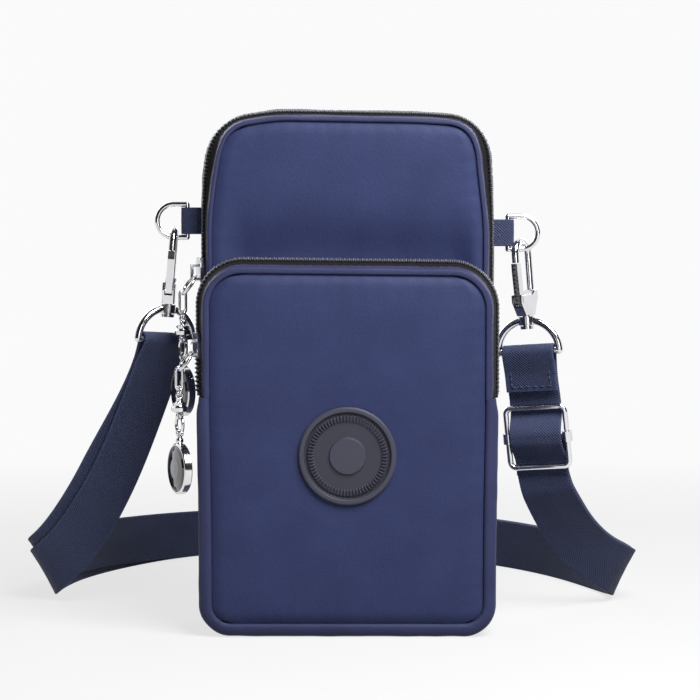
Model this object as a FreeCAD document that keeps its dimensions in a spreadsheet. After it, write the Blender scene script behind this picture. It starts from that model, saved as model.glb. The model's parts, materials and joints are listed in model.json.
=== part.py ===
import FreeCAD, Part
import math
import os
from types import SimpleNamespace

import Sketcher

# Phone pouch: upright crossbody bag with a zipped compartment, a zipped front pocket and a webbing strap.
# Millimetres. +X is the viewer's right, the front faces -Y, +Z is up, the origin is under the bag's middle.

# Driving sizes
SIZES = {
    # Bag shell
    "bag_width": 110.0,
    "bag_height": 192.5,
    "main_depth": 27.0,
    "pocket_depth": 20.0,
    "pocket_height": 137.0,
    "top_radius": 17.0,
    "bottom_radius": 12.0,
    "zip_end_height": 87.0,
    "fold_height": 141.0,
    "fold_gap": 0.4,
    "panel_thickness": 2.4,
    "strip_wall": 1.8,
    "rim_width": 5.0,
    "rim_depth": 4.0,
    "rim_round": 3.5,
    "seam_gap": 0.1,
    "front_strip_depth": 6.0,
    "front_strip_slope": 1.0,
    "front_round": 1.2,
    # Zips
    "zip_width": 8.2,
    "zip_slope": 2.4,
    "tape_thickness": 0.8,
    "tape_recess": 1.0,
    "tape_split": 1.8,
    "tooth_pitch": 1.6,
    "tooth_length": 0.7,
    "tooth_reach": 2.2,
    "tooth_overlap": 1.0,
    "tooth_height": 1.4,
    "row_parting": 1.3,
    # Sliders
    "main_slider_drop": 8.0,
    "pocket_slider_rise": 19.0,
    "slider_length": 9.0,
    "slider_gap": 0.3,
    "wing_thickness": 1.2,
    "wing_nose": 5.2,
    "wing_shoulder": 3.5,
    "flange_thickness": 0.7,
    "flange_gap": 0.2,
    "post_width": 0.5,
    "post_length": 2.4,
    "bridge_width": 1.2,
    "bridge_bar": 1.0,
    "bridge_hole": 1.8,
    "bridge_length": 6.0,
    # Pulls
    "pull_turn": 25.0,
    "ring_turn": 15.0,
    "ring_lean": 35.0,
    "pull_gap": 0.1,
    "ring_radius": 4.1,
    "ring_wire": 0.55,
    "link_radius": 1.25,
    "link_wire": 0.5,
    "link_straight": 5.8,
    "small_ring_radius": 1.5,
    "small_ring_wire": 0.45,
    "eye_radius": 1.1,
    "eye_wire": 0.4,
    "bead_radius": 3.0,
    "bead_height": 5.2,
    "charm_ring_radius": 3.3,
    "charm_ring_wire": 0.6,
    "charm_ball": 1.4,
    "charm_ball_seat": 1.0,
    "charm_radius": 9.3,
    "charm_thickness": 3.0,
    "charm_lip": 0.8,
    "stone_dome": 1.2,
    # Badge
    "badge_diameter": 35.6,
    "badge_height": 1.8,
    "badge_centre_height": 66.4,
    "badge_rim": 1.6,
    "badge_groove": 0.7,
    "badge_disc_radius": 10.2,
    "badge_rib_width": 0.6,
    "badge_rib_length": 4.2,
    "badge_rib_count": 36,
    # Tabs and D-rings
    "left_tab_height": 151.0,
    "right_tab_height": 146.5,
    "tab_depth_place": 16.4,
    "tab_reach": 5.2,
    "tab_width": 10.0,
    "tab_thickness": 4.6,
    "ring_wire_radius": 1.0,
    "ring_bend_radius": 6.2,
    "ring_straight": 5.0,
    "ring_bore_gap": 0.05,
    # Clips
    "hook_eye_radius": 3.2,
    "hook_wire": 1.4,
    "left_clip_tilt": 5.0,
    "right_clip_tilt": 4.5,
    "hook_seat_gap": 0.4,
    "hook_length": 25.0,
    "hook_neck": 6.0,
    "hook_thickness": 5.0,
    "hook_throat": 15.5,
    "nose_length": 3.0,
    "gate_gap": 0.3,
    "gate_thickness": 2.5,
    "gate_pin_radius": 0.6,
    "gate_pin_gap": 0.05,
    "gate_barrel": 1.5,
    "spring_length": 0.9,
    "spring_wall": 0.5,
    "swivel_gap": 0.3,
    "rivet_radius": 1.5,
    "rivet_bore_gap": 0.1,
    "rivet_head_radius": 2.6,
    "rivet_head_height": 1.2,
    "loop_boss_radius": 3.0,
    "loop_boss_height": 3.2,
    "loop_wire": 1.4,
    # Strap and buckle
    "strap_width": 20.0,
    "strap_thickness": 1.2,
    "strap_layer_gap": 0.6,
    "strap_bar_gap": 0.2,
    "loop_side_room": 0.5,
    "strap_ease": 10.0,
    "tail_length": 15.0,
    "buckle_place": 33.0,
    "buckle_pitch": 23.0,
    "buckle_wire": 1.1,
    "buckle_corner": 2.2,
    "buckle_side_room": 0.4,
    "buckle_sleeve_wall": 0.8,
    "buckle_sleeve_gap": 0.1,
    "buckle_sleeve_length": 4.0,
}

document = FreeCAD.newDocument("PhonePouch")
sheet = document.addObject("Spreadsheet::Sheet", "Sizes")
for row, (alias, number) in enumerate(SIZES.items(), start=1):
    sheet.set(f"A{row}", alias)
    sheet.set(f"B{row}", str(number))
    sheet.setAlias(f"B{row}", alias)
document.recompute()

TINY = 1e-6
X_AXIS = FreeCAD.Vector(1, 0, 0)
Y_AXIS = FreeCAD.Vector(0, 1, 0)
Z_AXIS = FreeCAD.Vector(0, 0, 1)
ORIGIN = FreeCAD.Vector(0, 0, 0)
finished = []


class Size:
    """A length with its number now and the sheet expression that keeps it bound."""

    def __init__(self, number, text):
        self.number = float(number)
        self.text = text

    def __add__(self, other):
        other = as_size(other)
        return Size(self.number + other.number, f"({self.text} + {other.text})")

    def __sub__(self, other):
        other = as_size(other)
        return Size(self.number - other.number, f"({self.text} - {other.text})")

    def __mul__(self, other):
        other = as_size(other)
        return Size(self.number * other.number, f"({self.text} * {other.text})")

    def __truediv__(self, other):
        other = as_size(other)
        return Size(self.number / other.number, f"({self.text} / {other.text})")

    def __radd__(self, other):
        return as_size(other) + self

    def __rsub__(self, other):
        return as_size(other) - self

    def __rmul__(self, other):
        return as_size(other) * self

    def __neg__(self):
        return as_size(0) - self


def as_size(value):
    """A plain number as a Size; a Size as it is."""
    if isinstance(value, Size):
        return value
    return Size(value, f"({float(value)})")


s = SimpleNamespace(**{alias: Size(number, f"Sizes.{alias}") for alias, number in SIZES.items()})


def vector(x, y, z):
    """A vector of three sizes or numbers."""
    return FreeCAD.Vector(as_size(x).number, as_size(y).number, as_size(z).number)


def bind(thing, path, size):
    """Bind one property of an object to the sheet."""
    thing.setExpression(path, as_size(size).text)


def place(thing, base, rotation=None):
    """Place an object at a point whose coordinates stay bound to the sheet."""
    thing.Placement = FreeCAD.Placement(vector(*base), rotation or FreeCAD.Rotation())
    for axis, size in zip("xyz", base):
        bind(thing, f"Placement.Base.{axis}", size)


def keep(thing, label, placement=None):
    """Name a finished sub-part, put it in its place and list it for its file."""
    thing.Label = label
    if placement is not None:
        settle(thing, placement)
    finished.append(thing)
    return thing


def settle(thing, placement):
    """Give an object a placement in place of the one that the sheet drove."""
    for axis in "xyz":
        thing.setExpression(f"Placement.Base.{axis}", None)
    thing.Placement = placement


def turned_axes(x_axis, z_axis):
    """Rotation with its Z axis exactly as given and its X axis as near as that allows."""
    return FreeCAD.Rotation(x_axis, z_axis.cross(x_axis), z_axis, "ZXY")


# Solids of Part primitives


def block(name, corner, extent):
    """A box from its lowest corner and its three lengths."""
    box = document.addObject("Part::Box", name)
    for path, size in zip(("Length", "Width", "Height"), extent):
        bind(box, path, size)
    place(box, corner)
    return box


def rod(name, radius, length, base, direction=Z_AXIS):
    """A cylinder from the middle of its first end along a direction."""
    cylinder = document.addObject("Part::Cylinder", name)
    bind(cylinder, "Radius", radius)
    bind(cylinder, "Height", length)
    place(cylinder, base, FreeCAD.Rotation(Z_AXIS, direction))
    return cylinder


def ball(name, radius, centre):
    """A sphere about its centre."""
    sphere = document.addObject("Part::Sphere", name)
    bind(sphere, "Radius", radius)
    place(sphere, centre)
    return sphere


def hoop(name, bend_radius, wire_radius, centre, axis, start=None, sweep=360):
    """A ring of round wire about an axis, or the part of it that sweeps on from a start direction."""
    ring = document.addObject("Part::Torus", name)
    bind(ring, "Radius1", bend_radius)
    bind(ring, "Radius2", wire_radius)
    ring.Angle3 = sweep
    start = start or (Z_AXIS if abs(axis.z) < 0.5 else X_AXIS)
    place(ring, centre, turned_axes(start, axis))
    return ring


def fuse(name, pieces):
    """Several solids grown into one."""
    result = document.addObject("Part::MultiFuse", name)
    result.Shapes = pieces
    return result


def group(name, pieces):
    """Separate solids kept together under one name."""
    result = document.addObject("Part::Compound", name)
    result.Links = pieces
    return result


def cut(name, base, tool):
    """A solid with another taken away."""
    result = document.addObject("Part::Cut", name)
    result.Base = base
    result.Tool = tool
    return result


def common(name, base, tool):
    """The space that two solids share."""
    result = document.addObject("Part::Common", name)
    result.Base = base
    result.Tool = tool
    return result


# Sketches and their features


def new_body(name):
    """An empty PartDesign body."""
    return document.addObject("PartDesign::Body", name)


def open_sketch(body, name, role, offset=0):
    """A sketch on one of its body's origin planes, moved along the plane's normal."""
    sketch = body.newObject("Sketcher::SketchObject", name)
    plane = next(item for item in body.Origin.OriginFeatures if item.Role == role)
    sketch.AttachmentSupport = (plane, "")
    sketch.MapMode = "FlatFace"
    sketch.AttachmentOffset = FreeCAD.Placement(vector(0, 0, offset), FreeCAD.Rotation())
    bind(sketch, "AttachmentOffset.Base.z", offset)
    return sketch


def hold(sketch, kind, *geometry, size):
    """A constraint with a size that stays bound to the sheet."""
    size = as_size(size)
    index = sketch.addConstraint(Sketcher.Constraint(kind, *geometry, size.number))
    sketch.setExpression(f"Constraints[{index}]", size.text)


def draw_polygon(sketch, points):
    """A closed outline of straight sides through points, each held by its two distances from the origin."""
    places = [vector(x, y, 0) for x, y in points]
    sides = []
    for index, start in enumerate(places):
        end = places[(index + 1) % len(places)]
        sides.append(sketch.addGeometry(Part.LineSegment(start, end)))
    for index, side in enumerate(sides):
        sketch.addConstraint(Sketcher.Constraint("Coincident", sides[index - 1], 2, side, 1))
    for side, (x, y) in zip(sides, points):
        hold(sketch, "DistanceX", -1, 1, side, 1, size=x)
        hold(sketch, "DistanceY", -1, 1, side, 1, size=y)


def draw_outline(sketch, corners):
    """A closed outline of level and upright sides; a corner (x, y, radius) is rounded by a tangent arc."""
    count = len(corners)
    points = [vector(x, y, 0) for x, y, radius in corners]
    radii = [as_size(radius).number for x, y, radius in corners]
    ends = []
    starts = []
    for index, point in enumerate(points):
        before = (points[index - 1] - point).normalize()
        after = (points[(index + 1) % count] - point).normalize()
        ends.append(point + before * radii[index])
        starts.append(point + after * radii[index])
    sides = []
    for index, (x, y, radius) in enumerate(corners):
        following = (index + 1) % count
        side = sketch.addGeometry(Part.LineSegment(starts[index], ends[following]))
        sides.append(side)
        if abs(points[index].y - points[following].y) < TINY:
            sketch.addConstraint(Sketcher.Constraint("Horizontal", side))
            hold(sketch, "DistanceY", -1, 1, side, 1, size=y)
        else:
            sketch.addConstraint(Sketcher.Constraint("Vertical", side))
            hold(sketch, "DistanceX", -1, 1, side, 1, size=x)
    for index, (x, y, radius) in enumerate(corners):
        arriving = sides[index - 1]
        leaving = sides[index]
        if radii[index] < TINY:
            sketch.addConstraint(Sketcher.Constraint("Coincident", arriving, 2, leaving, 1))
            continue
        centre = ends[index] + starts[index] - points[index]
        turn = (ends[index] - points[index - 1]).cross(points[(index + 1) % count] - points[index])
        first, last = (ends[index], starts[index]) if turn.z > 0 else (starts[index], ends[index])
        angles = [math.atan2((end - centre).y, (end - centre).x) for end in (first, last)]
        circle = Part.Circle(centre, Z_AXIS, radii[index])
        arc = sketch.addGeometry(Part.ArcOfCircle(circle, *angles))
        near, far = (1, 2) if turn.z > 0 else (2, 1)
        sketch.addConstraint(Sketcher.Constraint("Tangent", arriving, 2, arc, near))
        sketch.addConstraint(Sketcher.Constraint("Tangent", arc, far, leaving, 1))
        hold(sketch, "Radius", arc, size=radius)


def pad(body, sketch, length, reverse=False):
    """A pad of a sketch along its normal, or against it."""
    feature = body.newObject("PartDesign::Pad", f"{sketch.Name}_pad")
    feature.Profile = sketch
    feature.Reversed = reverse
    bind(feature, "Length", length)
    return feature


def round_edges(body, feature, radius, wanted):
    """A fillet on those edges of a feature that the test picks."""
    document.recompute()
    names = [f"Edge{number}" for number, edge in enumerate(feature.Shape.Edges, start=1) if wanted(edge)]
    fillet = body.newObject("PartDesign::Fillet", f"{feature.Name}_round")
    fillet.Base = (feature, names)
    bind(fillet, "Radius", radius)
    return fillet


def turned(name, points):
    """A solid turned about Z from its half profile of (radius, height) points."""
    body = new_body(name)
    sketch = open_sketch(body, f"{name}_profile", "XZ_Plane")
    draw_polygon(sketch, points)
    feature = body.newObject("PartDesign::Revolution", f"{name}_turned")
    feature.Profile = sketch
    feature.ReferenceAxis = (sketch, ["V_Axis"])
    feature.Angle = 360
    return body


# Places that the pieces share

half_width = s.bag_width / 2
front_face = -(s.main_depth + s.pocket_depth - s.badge_height) / 2
middle_face = front_face + s.pocket_depth
back_face = middle_face + s.main_depth
main_zip_y = middle_face + s.front_strip_depth + s.zip_width / 2
pocket_zip_y = front_face + s.front_strip_depth + s.zip_width / 2
panel_inset = s.rim_width + s.seam_gap
tooth_top = s.tooth_height - s.tape_recess
main_slider_height = s.fold_height - s.main_slider_drop
pocket_slider_height = s.zip_end_height + s.pocket_slider_rise
zip_middle_recess = s.zip_slope / 2
zip_tilt = math.atan2(s.zip_slope.number, s.zip_width.number)


def arch_corners(crown, wall, recess=0):
    """Outline of a strip that stands on the zip ends and arches over the top."""
    side = half_width - recess
    top = crown - recess
    radius = s.top_radius - recess
    inner = side - wall
    return [
        (-side, s.zip_end_height, 0),
        (-side, top, radius),
        (side, top, radius),
        (side, s.zip_end_height, 0),
        (inner, s.zip_end_height, 0),
        (inner, top - wall, radius - wall),
        (-inner, top - wall, radius - wall),
        (-inner, s.zip_end_height, 0),
    ]


def cup_corners(wall):
    """Outline of a strip that runs from zip end to zip end round the bottom."""
    inner = half_width - wall
    return [
        (-half_width, s.zip_end_height, 0),
        (-half_width, 0, s.bottom_radius),
        (half_width, 0, s.bottom_radius),
        (half_width, s.zip_end_height, 0),
        (inner, s.zip_end_height, 0),
        (inner, wall, s.bottom_radius - wall),
        (-inner, wall, s.bottom_radius - wall),
        (-inner, s.zip_end_height, 0),
    ]


def strip(name, corners, spans, rounded=()):
    """A cloth strip as one pad for each (back, depth, wall) span, its rims rounded on the given planes."""
    body = new_body(name)
    for number, (back, depth, wall) in enumerate(spans):
        sketch = open_sketch(body, f"{name}_outline_{number}", "XZ_Plane", -back)
        draw_outline(sketch, corners(wall))
        feature = pad(body, sketch, depth)
    for plane in rounded:
        feature = round_edges(body, feature, s.rim_round, lambda edge: on_outer_rim(edge, plane.number))
    return body


def sloped_strip(name, crown, spans):
    """An arched strip as one loft for each (back, depth, back edge, front edge); an edge is (recess, wall)."""
    body = new_body(name)
    for number, (back, depth, back_edge, front_edge) in enumerate(spans):
        outlines = []
        for side, y, (recess, wall) in (("back", back, back_edge), ("front", back - depth, front_edge)):
            sketch = open_sketch(body, f"{name}_{side}_{number}", "XZ_Plane", -y)
            draw_outline(sketch, arch_corners(crown, wall, recess))
            outlines.append(sketch)
        loft = body.newObject("PartDesign::AdditiveLoft", f"{name}_loft_{number}")
        loft.Profile = outlines[0]
        loft.Sections = outlines[1:]
        loft.Ruled = True
    return body


def front_arch(name, crown, face):
    """A front strip that slopes in from the zip to its rim, the rim rounded on its face."""
    wall_depth = s.front_strip_depth - s.rim_depth
    join_recess = s.zip_slope + s.front_strip_slope * wall_depth / s.front_strip_depth
    face_recess = s.zip_slope + s.front_strip_slope
    spans = [
        (
            face + s.front_strip_depth,
            wall_depth,
            (s.zip_slope, s.strip_wall),
            (join_recess, s.strip_wall),
        ),
        (
            face + s.rim_depth,
            s.rim_depth,
            (join_recess, s.rim_width - join_recess),
            (face_recess, s.rim_width - face_recess),
        ),
    ]
    body = sloped_strip(name, crown, spans)
    round_edges(body, body.Tip, s.front_round, lambda edge: on_outer_rim(edge, face.number, face_recess.number))
    return body


def on_outer_rim(edge, plane, recess=0.0):
    """Whether an edge runs along the outside of a strip, on a plane square to Y."""
    box = edge.BoundBox
    if abs(box.YMin - plane) > TINY or abs(box.YMax - plane) > TINY:
        return False
    if box.ZLength < TINY:
        levels = (recess, s.bag_height.number - recess, s.pocket_height.number - recess)
        outer_level = min(abs(box.ZMin - height) for height in levels) < TINY
        return outer_level and box.XLength > half_width.number
    return max(abs(box.XMin), abs(box.XMax)) > half_width.number - recess - TINY


def panel(name, bottom, top, low_radius, high_radius, back):
    """A flat panel inside the rims."""
    body = new_body(name)
    side = half_width - panel_inset
    sketch = open_sketch(body, f"{name}_outline", "XZ_Plane", -back)
    corners = [
        (-side, bottom, low_radius),
        (side, bottom, low_radius),
        (side, top, high_radius),
        (-side, top, high_radius),
    ]
    draw_outline(sketch, corners)
    pad(body, sketch, s.panel_thickness)
    return keep(body, name)


def build_shell():
    """Panels, strips and gussets of the bag."""
    panel_bottom = panel_inset
    low_radius = s.bottom_radius - panel_inset
    high_radius = s.top_radius - panel_inset
    main_top = s.bag_height - panel_inset
    fold_low = s.fold_height - s.fold_gap / 2
    fold_high = s.fold_height + s.fold_gap / 2
    panel_back = middle_face + s.panel_thickness
    panel("back_panel", panel_bottom, main_top, low_radius, high_radius, back_face)
    panel("divider_panel", panel_bottom, fold_low, low_radius, 0, panel_back)
    panel("upper_front_panel", fold_high, main_top, 0, high_radius, panel_back)
    pocket_top = s.pocket_height - panel_inset
    pocket_back = front_face + s.panel_thickness
    pocket_fold_low = s.zip_end_height - s.fold_gap / 2
    pocket_fold_high = s.zip_end_height + s.fold_gap / 2
    panel("pocket_front_panel_lower", panel_bottom, pocket_fold_low, low_radius, 0, pocket_back)
    panel("pocket_front_panel_upper", pocket_fold_high, pocket_top, 0, high_radius, pocket_back)

    main_arch = lambda wall: arch_corners(s.bag_height, wall)
    pocket_arch = lambda wall: arch_corners(s.pocket_height, wall)
    rear_start = main_zip_y + s.zip_width / 2
    rear_depth = back_face - rear_start
    rear_spans = [
        (back_face, s.rim_depth, s.rim_width),
        (back_face - s.rim_depth, rear_depth - s.rim_depth, s.strip_wall),
    ]
    keep(strip("main_rear_strip", main_arch, rear_spans, [back_face]), "main_rear_strip")
    split_at_fold("main_front_strip", front_arch("main_front_strip", s.bag_height, middle_face))
    gusset_spans = [
        (middle_face + s.rim_depth, s.rim_depth, s.rim_width),
        (back_face - s.rim_depth, s.main_depth - 2 * s.rim_depth, s.strip_wall),
        (back_face, s.rim_depth, s.rim_width),
    ]
    keep(strip("main_bottom_gusset", cup_corners, gusset_spans, [back_face]), "main_bottom_gusset")
    keep(front_arch("pocket_front_strip", s.pocket_height, front_face), "pocket_front_strip")
    pocket_rear_depth = s.pocket_depth - s.front_strip_depth - s.zip_width
    pocket_rear_spans = [(middle_face, pocket_rear_depth, s.strip_wall)]
    keep(strip("pocket_rear_strip", pocket_arch, pocket_rear_spans), "pocket_rear_strip")
    pocket_gusset_spans = [
        (front_face + s.rim_depth, s.rim_depth, s.rim_width),
        (middle_face, s.pocket_depth - s.rim_depth, s.strip_wall),
    ]
    keep(strip("pocket_bottom_gusset", cup_corners, pocket_gusset_spans, [front_face]), "pocket_bottom_gusset")


def split_at_fold(name, whole):
    """Cut a front arch at the flap's fold into its upper part and its two legs."""
    wide = s.bag_width + 2 * s.rim_width
    deep = s.main_depth + 2 * s.rim_width
    corner = (-wide / 2, middle_face - s.rim_width)
    fold_high = s.fold_height + s.fold_gap / 2
    above = block(f"{name}_above_fold", (*corner, fold_high), (wide, deep, s.bag_height))
    below = block(f"{name}_below_fold", (*corner, 0), (wide, deep, s.fold_height - s.fold_gap / 2))
    keep(common(f"{name}_upper_part", whole, above), f"{name}_upper")
    keep(common(f"{name}_legs_part", whole, below), f"{name}_legs")


# Zips

# Where the two rows of a zip start, in tooth pitches, half a pitch apart so that they mesh.
FRONT_ROW_START = 0.75
REAR_ROW_START = 1.25


def arch_stations(crown, first, pitch):
    """Points along a zip's middle (x, z, turn about Y), from the left zip end over the top to the right one."""
    side = (half_width - zip_middle_recess).number
    radius = (s.top_radius - zip_middle_recess).number
    top = (crown - zip_middle_recess).number
    leg = top - radius - s.zip_end_height.number
    level = 2 * (side - radius)
    bend = radius * math.pi / 2
    total = 2 * leg + level + 2 * bend
    distance = first
    while distance < total - first:
        along = distance
        if along <= leg:
            yield -side, s.zip_end_height.number + along, 90.0
        elif along <= leg + bend:
            angle = (along - leg) / radius
            x = -side + radius - radius * math.cos(angle)
            yield x, top - radius + radius * math.sin(angle), 90.0 - math.degrees(angle)
        elif along <= leg + bend + level:
            yield -side + radius + along - leg - bend, top, 0.0
        elif along <= leg + 2 * bend + level:
            angle = (along - leg - bend - level) / radius
            x = side - radius + radius * math.sin(angle)
            yield x, top - radius + radius * math.cos(angle), -math.degrees(angle)
        else:
            yield side, top - radius - (along - leg - 2 * bend - level), -90.0
        distance += pitch


def tooth_row(crown, zip_y, side, slider_height, low=0.0, high=math.inf):
    """One row of coil teeth along an arch, parted from the other row below the slider on the left leg."""
    length = s.tooth_length.number
    reach = s.tooth_reach.number
    overlap = s.tooth_overlap.number
    first = s.tooth_pitch.number * (FRONT_ROW_START if side < 0 else REAR_ROW_START)
    open_length = s.slider_length.number
    open_start = slider_height.number + open_length / 2
    foot = -s.tape_recess.number * math.cos(zip_tilt)
    lean = FreeCAD.Rotation(X_AXIS, math.degrees(zip_tilt))
    teeth = []
    for x, z, turn in arch_stations(crown, first, s.tooth_pitch.number):
        if not low < z < high:
            continue
        opened = 0.0
        if x < 0:
            opened = min(max((open_start - z) / open_length, 0.0), 1.0) * s.row_parting.number
        inner = -side * (overlap / 2 - opened)
        front = inner if side > 0 else inner - reach
        tooth = Part.makeBox(length, reach, tooth_top.number - foot)
        tooth.translate(FreeCAD.Vector(-length / 2, front, foot))
        tooth.Placement = FreeCAD.Placement(
            FreeCAD.Vector(x, zip_y.number, z), FreeCAD.Rotation(Y_AXIS, -turn).multiply(lean)
        ).multiply(tooth.Placement)
        teeth.append(tooth)
    return Part.makeCompound(teeth)


def keep_row(name, shape):
    """A finished row of teeth."""
    row = document.addObject("Part::Feature", name)
    row.Shape = shape
    keep(row, name)


def build_zip(name, crown, zip_y, slider_height, split):
    """Tapes and rows of teeth of one arched zip."""
    tape_width = (s.zip_width - s.tape_split) / 2
    edges = [
        (s.tape_recess + s.zip_slope * along / s.zip_width, s.tape_thickness)
        for along in (0, tape_width, tape_width + s.tape_split, s.zip_width)
    ]
    rear_span = (zip_y + s.zip_width / 2, tape_width, edges[0], edges[1])
    front_span = (zip_y - s.tape_split / 2, tape_width, edges[2], edges[3])
    keep(sloped_strip(f"{name}_rear_tape", crown, [rear_span]), f"{name}_rear_tape")
    front_tape = sloped_strip(f"{name}_front_tape", crown, [front_span])
    keep_row(f"{name}_rear_teeth", tooth_row(crown, zip_y, 1, slider_height))
    if split:
        split_at_fold(f"{name}_front_tape", front_tape)
        middle = s.fold_height.number
        clear = (s.tooth_length.number + s.fold_gap.number) / 2
        upper = tooth_row(crown, zip_y, -1, slider_height, low=middle + clear)
        legs = tooth_row(crown, zip_y, -1, slider_height, high=middle - clear)
        keep_row(f"{name}_front_teeth_upper", upper)
        keep_row(f"{name}_front_teeth_legs", legs)
    else:
        keep(front_tape, f"{name}_front_tape")
        keep_row(f"{name}_front_teeth", tooth_row(crown, zip_y, -1, slider_height))


# Sliders


def build_slider(name, zip_y, height):
    """A slider with two wings joined by a post, side flanges and a bridge for the pull."""
    body = new_body(name)
    wide = s.tooth_reach - s.tooth_overlap / 2 + s.row_parting + s.flange_gap + s.flange_thickness
    inside = wide - s.flange_thickness
    nose = s.wing_nose / 2
    nose_inside = nose - s.flange_thickness
    low = -s.slider_length / 2
    high = s.slider_length / 2
    shoulder = high - s.wing_shoulder
    wing = [(-wide, low), (wide, low), (wide, shoulder), (nose, high), (-nose, high), (-wide, shoulder)]
    outer_face = tooth_top + s.slider_gap
    tape_inner = -s.tape_recess - s.tape_thickness
    inner_face = tape_inner - s.slider_gap - s.wing_thickness
    flange_low = -s.tape_recess + s.slider_gap

    outer = open_sketch(body, f"{name}_outer_wing", "YZ_Plane", outer_face)
    draw_polygon(outer, wing)
    pad(body, outer, s.wing_thickness)
    for side, sign in (("front", 1), ("rear", -1)):
        flange = open_sketch(body, f"{name}_{side}_flange", "YZ_Plane", flange_low)
        outside_corners = [(wide, low), (wide, shoulder), (nose, high)]
        corners = outside_corners + [(nose_inside, high), (inside, shoulder), (inside, low)]
        draw_polygon(flange, [(sign * y, z) for y, z in corners])
        pad(body, flange, outer_face - flange_low)
    post = open_sketch(body, f"{name}_post", "YZ_Plane", inner_face)
    post_side = s.post_width / 2
    post_top = low + s.post_length
    draw_polygon(post, [(-post_side, low), (post_side, low), (post_side, post_top), (-post_side, post_top)])
    pad(body, post, outer_face - inner_face)
    inner = open_sketch(body, f"{name}_inner_wing", "YZ_Plane", inner_face)
    draw_polygon(inner, wing)
    pad(body, inner, s.wing_thickness)
    bridge = open_sketch(body, f"{name}_bridge", "XZ_Plane", -s.bridge_width / 2)
    foot = outer_face + s.wing_thickness
    hole = foot + s.bridge_hole
    crest = hole + s.bridge_bar
    bridge_low = low + s.bridge_bar / 2
    bridge_high = bridge_low + s.bridge_length
    draw_polygon(bridge, [
        (foot, bridge_low),
        (crest, bridge_low),
        (crest, bridge_high),
        (foot, bridge_high),
        (foot, bridge_high - s.bridge_bar),
        (hole, bridge_high - s.bridge_bar),
        (hole, bridge_low + s.bridge_bar),
        (foot, bridge_low + s.bridge_bar),
    ])
    pad(body, bridge, s.bridge_width)
    turn = FreeCAD.Rotation(Z_AXIS, 180 + math.degrees(zip_tilt))
    place(body, (zip_middle_recess - half_width, zip_y, height), turn)
    keep(body, name)
    reach = hole - s.pull_gap - s.ring_wire
    rise = bridge_low + s.bridge_bar + s.ring_wire + s.pull_gap
    return vector(zip_middle_recess - half_width, zip_y, height) + turn.multVec(vector(reach, 0, rise))


# Pulls

# Half outline of the crown bead, as shares of its radius and of its height down from the top.
BEAD_PROFILE = [
    (0.0, 0.0),
    (0.42, 0.0),
    (0.42, 0.16),
    (0.86, 0.3),
    (0.72, 0.48),
    (1.0, 0.64),
    (0.94, 0.9),
    (0.42, 1.0),
    (0.0, 1.0),
]
# Half outline of the charm's stone, as shares of its radius and of its dome's height above the bezel.
STONE_PROFILE = [
    (0.0, -1.0),
    (1.0, -1.0),
    (1.0, 0.0),
    (0.8, 0.55),
    (0.45, 0.9),
    (0.0, 1.0),
]


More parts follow.
